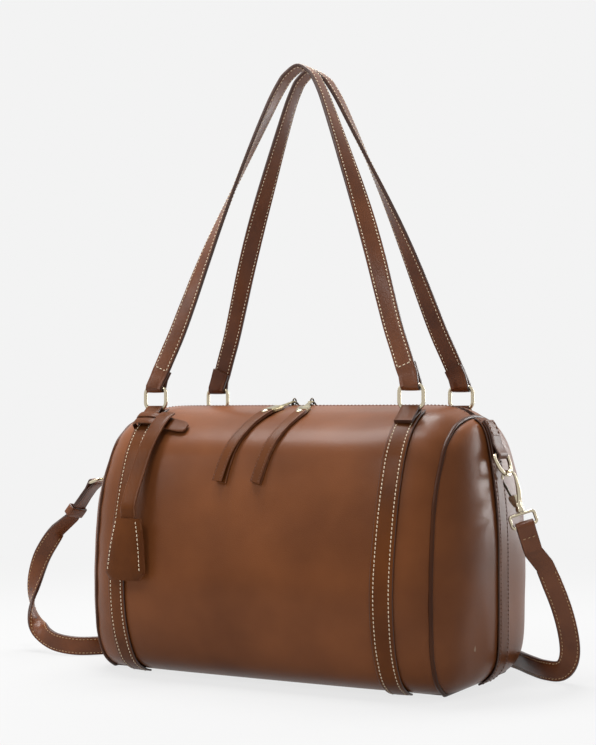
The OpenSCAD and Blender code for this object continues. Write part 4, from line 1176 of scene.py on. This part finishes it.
@dataclass
class Zip:
    """Woven tapes with a topstitched rim, two rows of metal teeth and two sliders with pulls."""

    tape_thick: float = 0.8
    pitch: float = 3.0
    teeth: int = 78
    chain: float = 200.55
    post: float = 0.8
    row_wide: float = 1.6
    row_high: float = 2.5
    slider_long: float = 10.0
    slider_wide: float = 8.4
    tooth: tuple = ((-0.8, -1), (0.8, -1), (1, -0.4), (0.75, 0.6), (0.4, 1), (-0.4, 1), (-0.75, 0.6),
                    (-1, -0.4))
    plate: tuple = ((-1, 0.45), (-0.75, 0.8), (-0.2, 1), (0.35, 1), (0.8, 0.82), (1, 0.5))
    bridge: tuple = ((-4.0, 0.6), (-3.6, 1.6), (-3.0, 3.0), (-2.2, 4.2), (-1.2, 5.1))

    def tapes(self) -> None:
        """Makes the two tapes and the topstitching that holds each panel edge to its tape."""
        over, under = [], []
        for i in range(93):
            x = mix(-138.0, 138.0, i / 92)
            z = min(FORM.top(x) - 2.5, self.chain + self.tape_thick / 2)
            y2, z2 = FORM.profile(x, 0.47)
            row = [Vector((x, -2.45, z)), Vector((x, -3.6, z + 0.1)), Vector((x, -5.0, z)),
                   Vector((x, -y2, z2 - 2.9))]
            over.append(row)
            under.append([p - UP * self.tape_thick for p in row])
        stations = [mix(-136.0, 136.0, i / 80) for i in range(81)]
        line = [FORM.front(x, 0.14, 0.05) for x in stations]
        normals = [FORM.out(x, 0.14) for x in stations]
        for name, fy in (("front", 1), ("back", -1)):
            Shape().shell(over, under, (0, 0, 0)).build(
                name + "_zip_tape_cloth", (TAPE,), "bag", "zip_tape", [name + "_zip_tape"], (1, fy))
            Shape().sew(line, normals).build(name + "_zip_thread", (BROWN,), "bag", "zip_tape", (), (1, fy))

    def chain_rows(self) -> None:
        """Makes the teeth: each a cast scoop clamped on the tape's corded edge."""
        shape = Shape()
        half = self.teeth * self.pitch / 2
        low, high = self.chain - self.row_high / 2, self.chain + self.row_high / 2
        for side in (-1, 1):
            y = side * (self.post / 2 + 0.3 + self.row_wide / 2)
            for i in range(self.teeth):
                x = -half + (i + (0.5 if side > 0 else 0.98)) * self.pitch
                if abs(x) > half - 0.6:
                    continue
                outline = [(x + a * 0.95, y + b * self.row_wide / 2) for a, b in self.tooth]
                if side > 0:
                    outline = [(px, 2 * y - py) for px, py in outline]
                shape.prism(outline, low, high, 0.3, lambda p: p, 2)
            y = side * (self.post / 2 + 0.3 + self.row_wide * 0.85)
            cord = [Vector((mix(-half, half, k / 40), y, self.chain)) for k in range(41)]
            shape.wire(cord, [0.55] * 41, sides=8, side=UP)
        shape.build("zip_chain_teeth", (BRONZE,), "bag", "zip_metal", ["zip_teeth"])

    def slider(self, name: str) -> None:
        """Makes one slider: shoulder plates, side flanges, a post and an arched bridge.

        Args:
            name: Left or right.
        """
        low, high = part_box(name + "_slider")
        x0 = (low.x + high.x) / 2 / MM

        def place(p: Vector) -> Vector:
            return Vector((p.x + x0, p.y, p.z))

        top = self.chain + self.row_high / 2 + 0.3
        lower = [(self.slider_long / 2 * a, -self.slider_wide / 2 * b) for a, b in self.plate]
        outline = lower + [(x, -y) for x, y in reversed(lower)]
        narrow = [(x, y * 0.5) for x, y in outline]
        post = [(-2.4, -0.4), (2.4, -0.4), (2.4, 0.4), (-2.4, 0.4)]
        shape = Shape().prism(outline, top, top + 1.2, 0.4, place)
        shape.prism(narrow, top - self.row_high - 1.8, top - self.row_high - 0.6, 0.4, place)
        shape.prism(post, top - self.row_high - 0.8, top + 0.2, 0.1, place)
        rows = list(self.bridge) + [(0, 5.5)] + [(-x, z) for x, z in reversed(self.bridge)]
        bridge = catmull([place(Vector((x, 0, top + z))) for x, z in rows], 3)
        shape.wire(bridge, [0.66] * len(bridge), sides=12, flat=1.5)
        shape.build(name + "_slider_metal", (BRONZE,), name + "_slider_body", "zip_metal", [name + "_slider"])

    def build(self) -> None:
        """Makes the whole zip but its pulls."""
        self.tapes()
        self.chain_rows()
        for name in ("left", "right"):
            self.slider(name)


@dataclass
class ZipPull:
    """A leather pull in a folded metal clamp, held by a domed rivet and hung on a small ring."""

    name: str
    drift: float
    rows: tuple
    splay: float = 0.0
    width: float = 8.6
    layer: float = 1.4
    clamp_long: float = 20.0
    clamp_wide: float = 9.0
    thread_in: float = 1.3
    eye: float = 1.55

    @staticmethod
    def sides(way: Vector) -> tuple[Vector, Vector]:
        """Returns the directions across a way and up from it."""
        wide = square_to(ACROSS, way)
        face = wide.cross(way)
        return wide, face if face.z > 0 else -face

    def line(self) -> list[Vector]:
        """Returns the leather's middle line over the shoulder of the bag."""
        low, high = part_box(self.name + "_slider")
        x0 = (low.x + high.x) / 2 / MM
        return catmull([FORM.front(x0 + self.drift * s, t, h * 2 * self.layer) for t, s, h in self.rows], 5)

    def lug(self) -> Vector:
        """Returns the place where the small ring carries the clamp."""
        low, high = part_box(self.name + "_pull_link")
        return Vector(((low.x + high.x) / 2 / MM, low.y / MM + 0.6, (low.z + high.z) / 2 / MM))

    def build(self) -> None:
        """Makes the leather, its thread, the clamp and the rivet."""
        body = self.name + "_pull_body"
        line = self.line()
        along = ways(line)
        lug = self.lug()
        along[0] = (line[0] - lug).normalized()
        thread = Shape()
        hide = Shape()
        for layer in (-1, 1):
            spots = []
            for i, (p, w) in enumerate(zip(line, along)):
                wide = square_to(ACROSS, w)
                face = wide.cross(w)
                face = face if face.z > 0 or face.y < 0 else -face
                k = i / (len(line) - 1)
                off = layer * (self.layer / 2) + max(layer, 0) * self.splay * smooth_share((k - 0.35) / 0.65)
                slide = -layer * self.splay * 0.35 * smooth_share((k - 0.5) / 0.5)
                spots.append(Spot(p + face * off + wide * slide, wide, face, self.width, self.layer))
            hide.strap(spots, strap_outline(groove=self.thread_in, crown=0.06, edge=0.3, sunk=0.12))
            if layer > 0:
                run = spots[10:]
                for side in (-1, 1):
                    edge = side * (self.width / 2 - self.thread_in)
                    row = [s.at + s.wide * edge + s.face * (s.thick / 2) for s in run]
                    thread.sew(row, [s.face for s in run], pitch=2.6, radius=0.2)
        hide.build(self.name + "_pull_hide", (TRIM, RAW), body, "trim_leather", [self.name + "_pull_leather"])
        thread.build(self.name + "_pull_thread", (BROWN,), body, "trim_leather")
        self.clamp(line[0], lug, body)
        self.rivet(line, along, body)

    def clamp(self, start: Vector, lug: Vector, body: str) -> None:
        """Makes the clamp: a folded sheet with rolled sides, an open mouth and a pierced lug."""
        way = (start - lug).normalized()
        wide, face = self.sides(way)
        reach = (start - lug).length - 0.3
        near = reach - self.clamp_long
        thick = 2 * self.layer + 0.9
        stations = ((near, 0.62, 0.4), (near + 0.5, 0.72, 0.52), (near + 2.2, 0.92, 0.78),
                    (near + 4.5, 1, 0.96), (reach - 3, 1, 1), (reach - 0.6, 1, 1), (reach, 0.97, 0.94))
        rings = []
        for s, w, t in stations:
            half_w, half_t = self.clamp_wide / 2 * w, thick / 2 * t
            rings.append([lug + way * s + wide * u + face * v
                          for u, v in rounded(half_w, half_t, min(half_t, 1.2))])
        shape = Shape().tube(rings)
        eye = [lug + way * (self.eye * math.cos(a)) + wide * (self.eye * math.sin(a)) for a in circle(20)]
        shape.wire(eye, [0.6] * 20, closed=True, sides=10, side=face)
        neck = [lug + way * s for s in (1.7, 2.4, near + 0.4)]
        shape.wire(neck, [0.8, 0.8, 1.0], sides=10, flat=2.0, side=wide)
        name = self.name + "_pull_clamp"
        shape.build(name + "_metal", (PALE_BRASS,), body, "antique_brass", [name])

    def rivet(self, line: Sequence[Vector], along: Sequence[Vector], body: str) -> None:
        """Makes the domed rivet just below the clamp's mouth."""
        station = 3
        way = along[station]
        wide, face = self.sides(way)
        at = line[station] + face * self.layer

        def place(p: Vector) -> Vector:
            return at + wide * p.x + way * p.y + face * p.z

        profile = [(0.05, 1.35), (0.9, 1.28), (1.7, 1.05), (2.3, 0.65), (2.5, 0.3), (2.5, 0.05), (2.3, -0.1),
                   (0.05, -0.1)]
        name = self.name + "_pull_rivet"
        Shape().lathe(profile, place).build(name + "_dome", (BRASS,), body, "antique_brass", [name])


@dataclass
class HookSet:
    """A snap hook with its sprung gate, on the line from a D ring to the strap."""

    name: str
    side: int
    fall: float
    eye: float = 6.0
    hole: float = 4.0
    long: float = 22.0
    pin_x: float = 2.6
    pin_z: float = 15.0

    def place(self, p: Vector) -> Vector:
        """Turns a point of the hook's own frame, eye at the origin and length along Z, into the bag's."""
        low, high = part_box(self.name + "_gate_pin")
        pin = (low + high) / 2 / MM
        f = math.radians(90 + self.fall)
        dx, dz = p.x - self.pin_x, p.z - self.pin_z
        return Vector((pin.x + self.side * (dx * math.cos(f) + dz * math.sin(f)), pin.y + p.y,
                       pin.z - dx * math.sin(f) + dz * math.cos(f)))

    def build(self) -> None:
        """Makes the cast hook and the lever that closes it."""
        body = self.name + "_hook_body"
        mid = (self.eye + self.hole) / 2
        arc = [(mid * math.cos(a), mid * math.sin(a)) for a in degrees(-8, -189, -15)]
        back = [(-4.9, 3.5), (-4.45, 8), (-3.7, 12), (-2.7, 15.5), (-1.6, 18.2), (-0.7, 20.2), (0, self.long)]
        knots = [Vector((x, 0, z)) for x, z in arc + back]
        path = catmull(knots, 3)
        wide = [0.95 + 0.75 * smooth_share((p.z + 2) / 16) for p in path]
        shape = Shape().wire([self.place(p) for p in path], wide, sides=16, flat=1.45)
        cheek = [(-2.6, 13.6), (0.2, 13.0), (4.0, 12.9), (4.9, 14.2), (4.6, 16.4), (3.7, 19.0), (2.8, 21.4),
                 (-2.8, 21.4), (-3.2, 18.0)]
        for y0, y1 in ((-2.2, -1.25), (1.25, 2.2)):
            shape.prism(cheek, y0, y1, 0.3, lambda p: self.place(Vector((p.x, p.z, p.y))))
        collar = [(0.1, 19.0), (2.6, 19.2), (2.95, 19.8), (2.95, 21.0), (2.5, 21.5), (2.5, 22.2), (3.0, 22.7),
                  (3.0, 25.0), (2.7, 25.7), (2.0, 25.95), (0.1, 26.0)]
        shape.lathe(collar, self.place)
        shape.build(self.name + "_hook_cast", (BRASS,), body, "antique_brass", [self.name + "_hook"])
        lever = Shape()
        rows = [(self.pin_x - 0.3, 16.6), (self.pin_x, self.pin_z), (3.4, 11.0), (4.2, 6.5), (4.85, 2.4)]
        bar = catmull([Vector((x, 0, z)) for x, z in rows], 4)
        lever.wire([self.place(p) for p in bar], [0.85] * len(bar), sides=12, flat=1.25)
        name = self.name + "_gate"
        lever.build(name + "_lever", (BRONZE,), name + "_body", "antique_brass", [name])


@dataclass
class ShoulderStrap:
    """The long strap: folded round both loops, standing on edge behind the bag, with its keeper."""

    width: float = 15.0
    end_width: float = 13.8
    thick: float = 3.0
    right_tail: float = 20.0
    left_tail: float = 36.0
    thread_in: float = 2.0
    route: tuple = ((188, 15, 88, -62), (196, 27, 58, -62), (200, 33, 34, -66), (199, 36, 18, -84),
                    (192, 38, 9, -106), (178, 43, 7.7, -121), (160, 60, 7.7, -127), (140, 82, 7.7, -128),
                    (110, 107, 7.7, -118), (60, 127, 7.7, -101), (0, 136, 7.7, -90), (-60, 132, 7.7, -78),
                    (-110, 116, 7.7, -62), (-146, 88, 7.7, -40), (-166, 52, 7.7, -18), (-173, 15, 7.7, -12),
                    (-183, -14, 7.7, -35), (-203, -29, 8, -66), (-226, -30, 12, -84), (-246, -23, 24, -20),
                    (-255, -16, 46, 60), (-250, -11, 76, 112), (-236, -7, 100, 140))

    def loop(self, name: str, hook: HookSet) -> tuple[Vector, Vector]:
        """Returns the middle and the direction of a wire loop's outer bar."""
        turn = math.radians(-24 if name == "right" else 90)
        stem = 26 - 0.3 + 0.35 + 1.2 + 9
        bar = hook.place(Vector((0, 0, stem)))
        tip = hook.place(Vector((math.cos(turn), math.sin(turn), stem)))
        return bar, (tip - bar).normalized()

    def fold(self, bar: Vector, along: Vector, to: Vector, tail: float) -> list[tuple[Vector, float]]:
        """Returns the folded end: tail, turn round the bar and start of the run, each with a thickness."""
        ply = 0.6 * self.thick
        off = ply / 2 + 0.1
        reach = 1.2 + 0.35 + ply / 2
        d = (to - bar - along * (to - bar).dot(along)).normalized()
        m = along.cross(d)
        rows = [bar + m * off + d * (k * tail) for k in (1, 0.7, 0.45, 0.2)]
        rows += [bar + (m * math.cos(a) - d * math.sin(a)) * reach for a in degrees(0, 181, 15)]
        rows += [bar - m * off + d * (k * tail) for k in (0.2, 0.45, 0.7, 0.9, 1.05)]
        return [(p, ply) for p in rows]

    def spots(self, right: HookSet, left: HookSet) -> list[Spot]:
        """Returns the places along the whole strap, from the right sewn end to the left one."""
        rows = catmull([Vector(r[:3]) for r in self.route], 8)
        turns = catmull([Vector((r[3], 0, 0)) for r in self.route], 8)
        right_bar, right_way = self.loop("right", right)
        left_bar, left_way = self.loop("left", left)
        first = self.fold(right_bar, right_way, rows[0], self.right_tail)
        last = list(reversed(self.fold(left_bar, left_way, rows[-1], self.left_tail)))
        points = [p for p, _ in first] + rows + [p for p, _ in last]
        thick = [t for _, t in first] + [self.thick] * len(rows) + [t for _, t in last]
        along = ways(points)
        count, n_end = len(points), len(first)
        wides: list[Vector] = []
        for i, w in enumerate(along):
            if i < n_end:
                want = right_way
            elif i >= count - n_end:
                want = left_way
            else:
                h = math.radians(turns[i - n_end].x)
                want = w.cross(Vector((math.cos(h), math.sin(h), 0)))
            wides.append(square_to(want, w))
        mid = n_end + len(rows) // 2
        for i in range(mid - 1, -1, -1):
            if wides[i].dot(wides[i + 1]) < 0:
                wides[i] = -wides[i]
        for i in range(mid + 1, count):
            if wides[i].dot(wides[i - 1]) < 0:
                wides[i] = -wides[i]
        eased = list(wides)
        for i in list(range(n_end - 3, n_end + 12)) + list(range(count - n_end - 12, count - n_end + 3)):
            total = sum((wides[k] for k in range(i - 3, i + 4)), Vector((0, 0, 0)))
            eased[i] = square_to(total, along[i])
        widths = [self.end_width] * n_end + [self.width] * len(rows) + [self.end_width] * n_end
        for k in range(4):
            widths[n_end + k] = widths[count - n_end - 1 - k] = mix(self.end_width, self.width, (k + 1) / 5)
        self.n_end = n_end
        return [Spot(p, u, w.cross(u), wd, t) for p, u, w, wd, t in zip(points, eased, along, widths, thick)]

    def build(self, right: HookSet, left: HookSet) -> None:
        """Makes the strap, its edge stitching, the rows across its folded ends, its holes and its keeper."""
        spots = self.spots(right, left)
        body = "shoulder_strap_body"
        Shape().strap(spots, strap_outline(groove=self.thread_in, crown=0.2, edge=0.45)).build(
            "shoulder_strap_hide", (STRAP_HIDE, PAINT), body, "trim_leather", ["shoulder_strap"])
        run = spots[self.n_end + 2:len(spots) - self.n_end - 2]
        thread = Shape().sew_edges(run, self.thread_in, radius=0.32)
        for spot in (spots[2], spots[-3], spots[-2]):
            thread.sew_across(spot, 5.2)
        thread.build("shoulder_strap_thread", (TAN,), body, "trim_leather")
        self.holes(spots)
        self.keeper(spots)

    def holes(self, spots: Sequence[Spot]) -> None:
        """Makes the dark punched eyelets near the strap's left end."""
        shape = Shape()
        for want in (Vector((-255, -16, 50)), Vector((-247, -23, 26))):
            s = min(spots, key=lambda q: (q.at - want).length)
            way = s.face.cross(s.wide)
            top = s.thick / 2 + 0.2
            eyelet = [(0.05, top + 0.02), (1.1, top + 0.03), (1.45, top + 0.12), (1.7, top - 0.1),
                      (0.05, top - 0.4)]
            for face in (-1, 1):
                shape.lathe(eyelet, lambda p: s.at + s.wide * p.x + way * p.y + s.face * (face * p.z), 16)
        shape.build("shoulder_strap_holes", (PAINT,), "shoulder_strap_body", "trim_leather")

    def keeper(self, spots: Sequence[Spot]) -> None:
        """Makes the keeper: a band of leather round both layers."""
        low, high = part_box("strap_keeper")
        at = (low + high) / 2 / MM
        s = min(spots[-self.n_end:], key=lambda q: (q.at - at).length)
        way = s.face.cross(s.wide)
        half_w, half_t = self.end_width / 2 + 1.0, 2.0 + 0.9
        loop = [at + s.wide * u + s.face * v for u, v in rounded(half_w, half_t, 1)]
        outline = strap_outline(crown=0.08, edge=0.35)(9.0, 1.3)
        rings = []
        for p, w in zip(loop, ways(loop, closed=True)):
            n = w.cross(way)
            n = n if n.dot(p - at) > 0 else -n
            rings.append([p + way * u + n * h for u, h, _ in outline])
        Shape().tube(rings, [m for _, _, m in outline], closed=True).build(
            "strap_keeper_hide", (STRAP_HIDE, PAINT), "shoulder_strap_body", "trim_leather", ["strap_keeper"])


@dataclass
class KeyCharm:
    """A leather bell on a strap that is hitched round the left front tab."""

    width: float = 12.5
    thick: float = 1.8
    bell_high: float = 46.0
    bell_wide: float = 34.0
    bell_top: float = 22.0
    leaf: float = 1.6
    lean: float = 4.5
    gap: float = 2.4
    chamfer: float = 5.0

    def seat(self) -> Vector:
        """Returns the middle of the bell's top edge."""
        low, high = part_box("charm_bell")
        bell = FORM.front(-110 + 0.88 * 16, 7.4, 11)
        return Vector(((low.x + high.x) / 2 / MM, bell.y, bell.z))

    def hang(self, x: float, up: float, out: float = 0.0) -> Vector:
        """Returns a point of the hanging bell, across, above its top edge and in front of its middle."""
        a = math.radians(self.lean)
        rise = up * math.cos(a) + out * math.sin(a)
        return self.seat() + Vector((x, up * math.sin(a) - out * math.cos(a), rise))

    def build(self) -> None:
        """Makes the hitch, the strap and the bell."""
        self.hitch()
        self.strap()
        self.bell()

    def hitch(self) -> None:
        """Makes the two bands round the tab and the rounded tongue that passes under the strap."""
        shape = Shape()
        for t0, t1, rise in ((2.98, 3.32, 1.3), (3.4, 3.72, 0.6)):
            columns = [(-120.6, -0.8), (-120.2, 1.6), (-119.2, 4.2), (-116, 5.4 + rise), (-110, 5.6 + rise),
                       (-103, 5.4 + rise), (-98, 4.6 + rise * 0.6), (-93, 3.4), (-88, 2.6)]
            rows = catmull([Vector((x, h, 0)) for x, h in columns], 4)
            over, under = [], []
            for p in rows:
                places = [t0 + (t1 - t0) * k / 4 + (p.x + 120) * 0.004 for k in range(5)]
                over.append([FORM.front(p.x, t, p.y + self.thick * 0.75 - (0.25 if k in (0, 4) else 0))
                             for k, t in enumerate(places)])
                under.append([FORM.front(p.x, t, p.y) for t in places])
            shape.shell(over, under, (0, 0, 1))
        columns = [(-92, 3.1, 0.0), (-86, 2.6, 0.0), (-80, 2.2, 0.0), (-75, 2.0, 0.02), (-71.5, 1.9, 0.08),
                   (-69.4, 1.8, 0.2)]
        over, under = [], []
        for x, h, trim in columns:
            low, high = 3.08 + (x + 92) * 0.012 + trim, 3.85 + (x + 92) * 0.012 - trim
            places = [mix(low, high, k / 6) for k in range(7)]
            over.append([FORM.front(x, t, h + 1.5 - (0.25 if k in (0, 6) else 0))
                         for k, t in enumerate(places)])
            under.append([FORM.front(x, t, h - 0.1) for t in places])
        shape.shell(over, under, (0, 0, 1))
        shape.build("charm_hitch_hide", (TRIM, RAW), "charm_strap_body", "trim_leather")

    def strap(self) -> None:
        """Makes the strap from the hitch down into the bell."""
        x0, x1 = -110 + 1.15 * 16, self.seat().x
        route = ((3.0, 6.6, 0), (3.4, 7.4, 0.06), (4, 7.2, 0.2), (5, 7.4, 0.46), (6, 8.8, 0.78))
        knots = [FORM.front(mix(x0, x1, k), t, h) for t, h, k in route]
        knots += [self.hang(0, up) for up in (12, 2, -10, -24)]
        line = catmull(knots, 6)
        spots = []
        for p, w in zip(line, ways(line)):
            wide = square_to(ACROSS, w)
            spots.append(Spot(p, wide, w.cross(wide), self.width, self.thick))
        Shape().strap(spots, strap_outline(crown=0.12, edge=0.4)).build(
            "charm_strap_hide", (TRIM, RAW), "charm_strap_body", "trim_leather", ["charm_strap"])

    def leaf_half(self, up: float) -> float:
        """Returns half the bell's width at a height below its top edge."""
        foot = self.bell_high - self.chamfer
        if -up <= foot:
            k = -up / foot
            return mix(self.bell_top, self.bell_wide, k) / 2 + 0.8 * math.sin(math.pi * k)
        return self.bell_wide / 2 - (-up - foot)

    def stand_off(self, s: float, up: float) -> float:
        """Returns how far a leaf's inside stands off the middle, at share s across and a height."""
        belly = (1 - abs(s) ** 2.4) * (1.1 + 1.2 * math.sin(min(-up / self.bell_high, 1) * math.pi))
        return self.gap / 2 * (1 - abs(s) ** 6) + belly * 0.75

    def bell(self) -> None:
        """Makes the two leaves, bellied in the middle and sewn down both sides."""
        shape = Shape()
        thread = Shape()
        levels = [-self.bell_high * k / 26 for k in range(27)]
        for face in (-1, 1):
            over, under = [], []
            for up in levels:
                half = self.leaf_half(up)
                row, back = [], []
                for k in range(15):
                    s = 2 * k / 14 - 1
                    out = self.stand_off(s, up)
                    edge = 0.3 if abs(s) == 1 else 0.0
                    row.append(self.hang(half * s, up, face * (out + self.leaf - edge)))
                    back.append(self.hang(half * s, up, face * max(out, 0.02)))
                over.append(row)
                under.append(back)
            shape.shell(over, under, (0, 2, 1))
            for side in (-1, 1):
                line = []
                for up in levels[1:-4]:
                    half = self.leaf_half(up) - 2.6
                    off = self.stand_off(half / (half + 2.6), up) + self.leaf + 0.05
                    line.append(self.hang(side * half, up, face * off))
                thread.sew(line, [self.hang(0, 0, face) - self.hang(0, 0, 0)] * len(line))
        shape.build("charm_bell_hide", (TRIM, RAW, FLESH), "charm_bell_body", "trim_leather", ["charm_bell"])
        thread.build("charm_bell_thread", (CREAM,), "charm_bell_body", "trim_leather")


@dataclass
class Inside:
    """The twill lining. The fibreboard under it is a CAD piece, dressed with the hardware."""

    offset: float = 2.6
    thick: float = 0.7
    floor: float = 4.9

    def build(self) -> None:
        """Makes the lining: one sheet from edge to edge over the floor, and one at each end."""
        shape = Shape()
        over, under = [], []
        for i in range(41):
            x = mix(-135.5, 135.5, i / 40)
            rows = []
            for lift in (self.offset + self.thick, self.offset):
                side = [FORM.front(x, t, -lift) for t in (1 + k / 2 for k in range(23))]
                z = self.floor + (self.thick if lift > self.offset else 0)
                foot = [Vector((x, -54, z)), Vector((x, 0, z)), Vector((x, 54, z))]
                rows.append(side + foot + mirrored(side, y=-1))
            over.append(rows[0])
            under.append(rows[1])
        shape.shell(over, under, (0, 0, 0))
        for sign in (-1, 1):
            grids = []
            for lift in (self.offset + self.thick, self.offset):
                grid = []
                for i in range(13):
                    u = mix(-0.82, 0.82, i / 12)
                    row = [FORM.end_raw(u, t) - ACROSS * lift for t in (1.4 + k / 2 for k in range(21))]
                    grid.append([Vector((sign * p.x, p.y, p.z)) for p in row])
                grids.append(grid)
            shape.shell(grids[0], grids[1], (0, 0, 0))
        shape.build("lining_cloth_twill", (TWILL,), "bag", "lining_cloth", ["lining"])


class Hardware:
    """Metal and board pieces: all keep their CAD solids but the handle rings, which are made anew."""

    rings = ("front_left", "front_right", "back_left", "back_right")
    brass = ("left_dee_ring", "right_dee_ring", "left_gate_pin", "right_gate_pin", "left_strap_loop",
             "right_strap_loop")
    bronze = ("left_pull_link", "right_pull_link")

    def dress(self) -> None:
        """Gives each kept CAD piece its material and makes the handle rings."""
        for names, finish in ((self.brass, BRASS), (self.bronze, BRONZE), (("base_board",), FIBRE)):
            for name in names:
                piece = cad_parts[name]
                piece.data.materials.clear()
                piece.data.materials.append(finish.material())
                log.info("%s keeps its solid in %s", name, finish.name)
        for name in self.rings:
            self.ring(name)

    def ring(self, name: str) -> None:
        """Makes a handle ring: a bent bar a little fuller than the plain solid, round at its corners.

        Args:
            name: Which corner of the bag it is on.
        """
        low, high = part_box(name + "_ring")
        mid, half = (low + high) / 2 / MM, (high - low) / 2 / MM
        wire, bend = 1.2, 5.6
        outline = rounded(half.x - wire, half.z - wire, bend, 8)
        path = [Vector((mid.x + u, mid.y, mid.z + v)) for u, v in outline]
        Shape().wire(path, [1.45] * len(path), closed=True, sides=18, side=DEPTHWISE).build(
            name + "_ring_wire", (BRASS,), name + "_ring_body", "antique_brass", [name + "_ring"])


@dataclass
class Studio:
    """Pale floor, soft light and the camera at the photograph's angle."""

    place: tuple = (0.5622, -1.0490, 0.19746)
    heading: float = 28.5255
    pitch: float = 1.594
    lens: float = 73.78
    floor_tone: str = "#f3f3f3"
    card_tone: str = "#cecece"
    floor_glow: float = 0.84
    room_light: float = 0.22

    def seen(self, tree: Tree) -> Socket:
        """Returns one for rays that show the backdrop: from the camera, off metal and through gaps."""
        path = add_node(tree, "ShaderNodeLightPath")
        shine = maths(tree, "ADD", {0: path.outputs["Is Glossy Ray"], 1: path.outputs["Is Transmission Ray"]},
                      clamp=True)
        return maths(tree, "ADD", {0: path.outputs["Is Camera Ray"], 1: shine}, clamp=True)

    def floor(self) -> None:
        """Makes the paper floor: it takes the shadow near the bag and has the wall's tone further off."""
        mesh = bpy.data.meshes.new("studio_floor")
        mesh.from_pydata([(-9, -9, 0), (9, -9, 0), (9, 9, 0), (-9, 9, 0)], [], [(0, 1, 2, 3)])
        floor = bpy.data.objects.new("studio_floor", mesh)
        bpy.context.scene.collection.objects.link(floor)
        paper = bpy.data.materials.new("studio_paper")
        paper.use_nodes = True
        tree = paper.node_tree
        tree.nodes.clear()
        card = add_node(tree, "ShaderNodeBsdfDiffuse", {"Color": linear(self.card_tone)})
        plain = add_node(tree, "ShaderNodeEmission", {"Color": linear(self.floor_tone), "Strength": 1.0})
        at = add_node(tree, "ShaderNodeTexCoord").outputs["Object"]
        far = add_node(tree, "ShaderNodeVectorMath", {"operation": "LENGTH"}, {0: at})
        fade = spread(tree, far.outputs["Value"],
                      {"interpolation_type": "SMOOTHSTEP", "From Min": 0.3, "From Max": 1.0,
                       "To Min": self.floor_glow, "To Max": 1.0})
        share = maths(tree, "MULTIPLY", {0: fade, 1: self.seen(tree)})
        both = add_node(tree, "ShaderNodeMixShader", None,
                        {0: share, 1: card.outputs["BSDF"], 2: plain.outputs["Emission"]})
        add_node(tree, "ShaderNodeOutputMaterial", None, {"Surface": both.outputs["Shader"]})
        mesh.materials.append(paper)

    def world(self) -> None:
        """Lights the room softly and shows a pale wall."""
        world = bpy.data.worlds.new("studio_room")
        bpy.context.scene.world = world
        world.use_nodes = True
        tree = world.node_tree
        tree.nodes.clear()
        room = add_node(tree, "ShaderNodeBackground", {"Color": (1, 1, 1, 1), "Strength": self.room_light})
        wall = add_node(tree, "ShaderNodeBackground", {"Color": linear(self.floor_tone), "Strength": 1.0})
        choice = add_node(tree, "ShaderNodeMixShader", None,
                          {0: self.seen(tree), 1: room.outputs[0], 2: wall.outputs[0]})
        add_node(tree, "ShaderNodeOutputWorld", None, {"Surface": choice.outputs[0]})

    def lamp(self, name: str, place: tuple, aim: tuple, size: tuple, power: float) -> None:
        """Adds one soft box.

        Args:
            name: The lamp's name.
            place: Where it stands, in metres.
            aim: What it faces.
            size: Its width and height.
            power: Its power in watts.
        """
        light = bpy.data.lights.new(name, "AREA")
        light.shape = "RECTANGLE"
        light.size, light.size_y = size
        light.energy = power
        lamp = bpy.data.objects.new(name, light)
        lamp.location = place
        lamp.rotation_euler = (Vector(aim) - Vector(place)).to_track_quat("-Z", "Y").to_euler()
        bpy.context.scene.collection.objects.link(lamp)

    def camera(self) -> None:
        """Sets the camera: level with the top of the bag, turned to its right end."""
        data = bpy.data.cameras.new("view")
        data.lens = self.lens
        data.clip_start = 0.05
        camera = bpy.data.objects.new("view", data)
        camera.location = self.place
        camera.rotation_euler = (math.radians(90 + self.pitch), 0, math.radians(self.heading))
        bpy.context.scene.collection.objects.link(camera)
        bpy.context.scene.camera = camera

    def build(self) -> None:
        """Makes the studio."""
        scene = bpy.context.scene
        scene.view_settings.view_transform = "Standard"
        self.camera()
        self.floor()
        self.world()
        self.lamp("key_box", (-0.2, -1.6, 1.4), (0, 0, 0.12), (0.4, 0.5), 7)
        self.lamp("top_box", (-0.35, 0.25, 1.6), (0, 0, 0.15), (1.4, 0.5), 42)
        self.lamp("left_box", (-1.5, -1.2, 1.2), (0, 0, 0.12), (0.7, 0.7), 7)
        self.lamp("crown_box", (0.1, -0.2, 1.3), (0.1, 0, 0.15), (0.22, 0.22), 5)
        self.lamp("rim_box", (0.75, 1.8, 0.6), (0.1, 0, 0.12), (0.4, 1.2), 18)


def main() -> None:
    """Builds the studio and every dressed piece."""
    logging.basicConfig(level=logging.INFO, format="%(name)s %(message)s")
    Studio().build()
    BodyPanels().build()
    SideStrips().build()
    EndStrips().build()
    Handles().build()
    Zip().build()
    left_route = ((2.15, .03, .86), (2.5, .12, .8), (3, .26, .7), (3.5, .4, .64), (4, .52, .62),
                  (4.5, .66, .62), (5, .77, .63), (5.5, .88, .66), (6, .97, .7), (6.2, 1, .72))
    right_route = ((2.15, 1, .86), (2.5, .98, .8), (3, .89, .7), (3.5, .73, .64), (4, .59, .62),
                   (4.5, .44, .62), (5, .29, .63), (5.5, .15, .66), (6, .02, .7), (6.2, -.04, .72))
    ZipPull("left", -15.5, left_route, splay=2.4).build()
    ZipPull("right", 13.0, right_route, splay=0.4).build()
    hooks = {"right": HookSet("right", 1, 70.0), "left": HookSet("left", -1, 20.0)}
    for hook in hooks.values():
        hook.build()
    ShoulderStrap().build(hooks["right"], hooks["left"])
    KeyCharm().build()
    Inside().build()
    Hardware().dress()


if __name__ == "__main__":
    main()
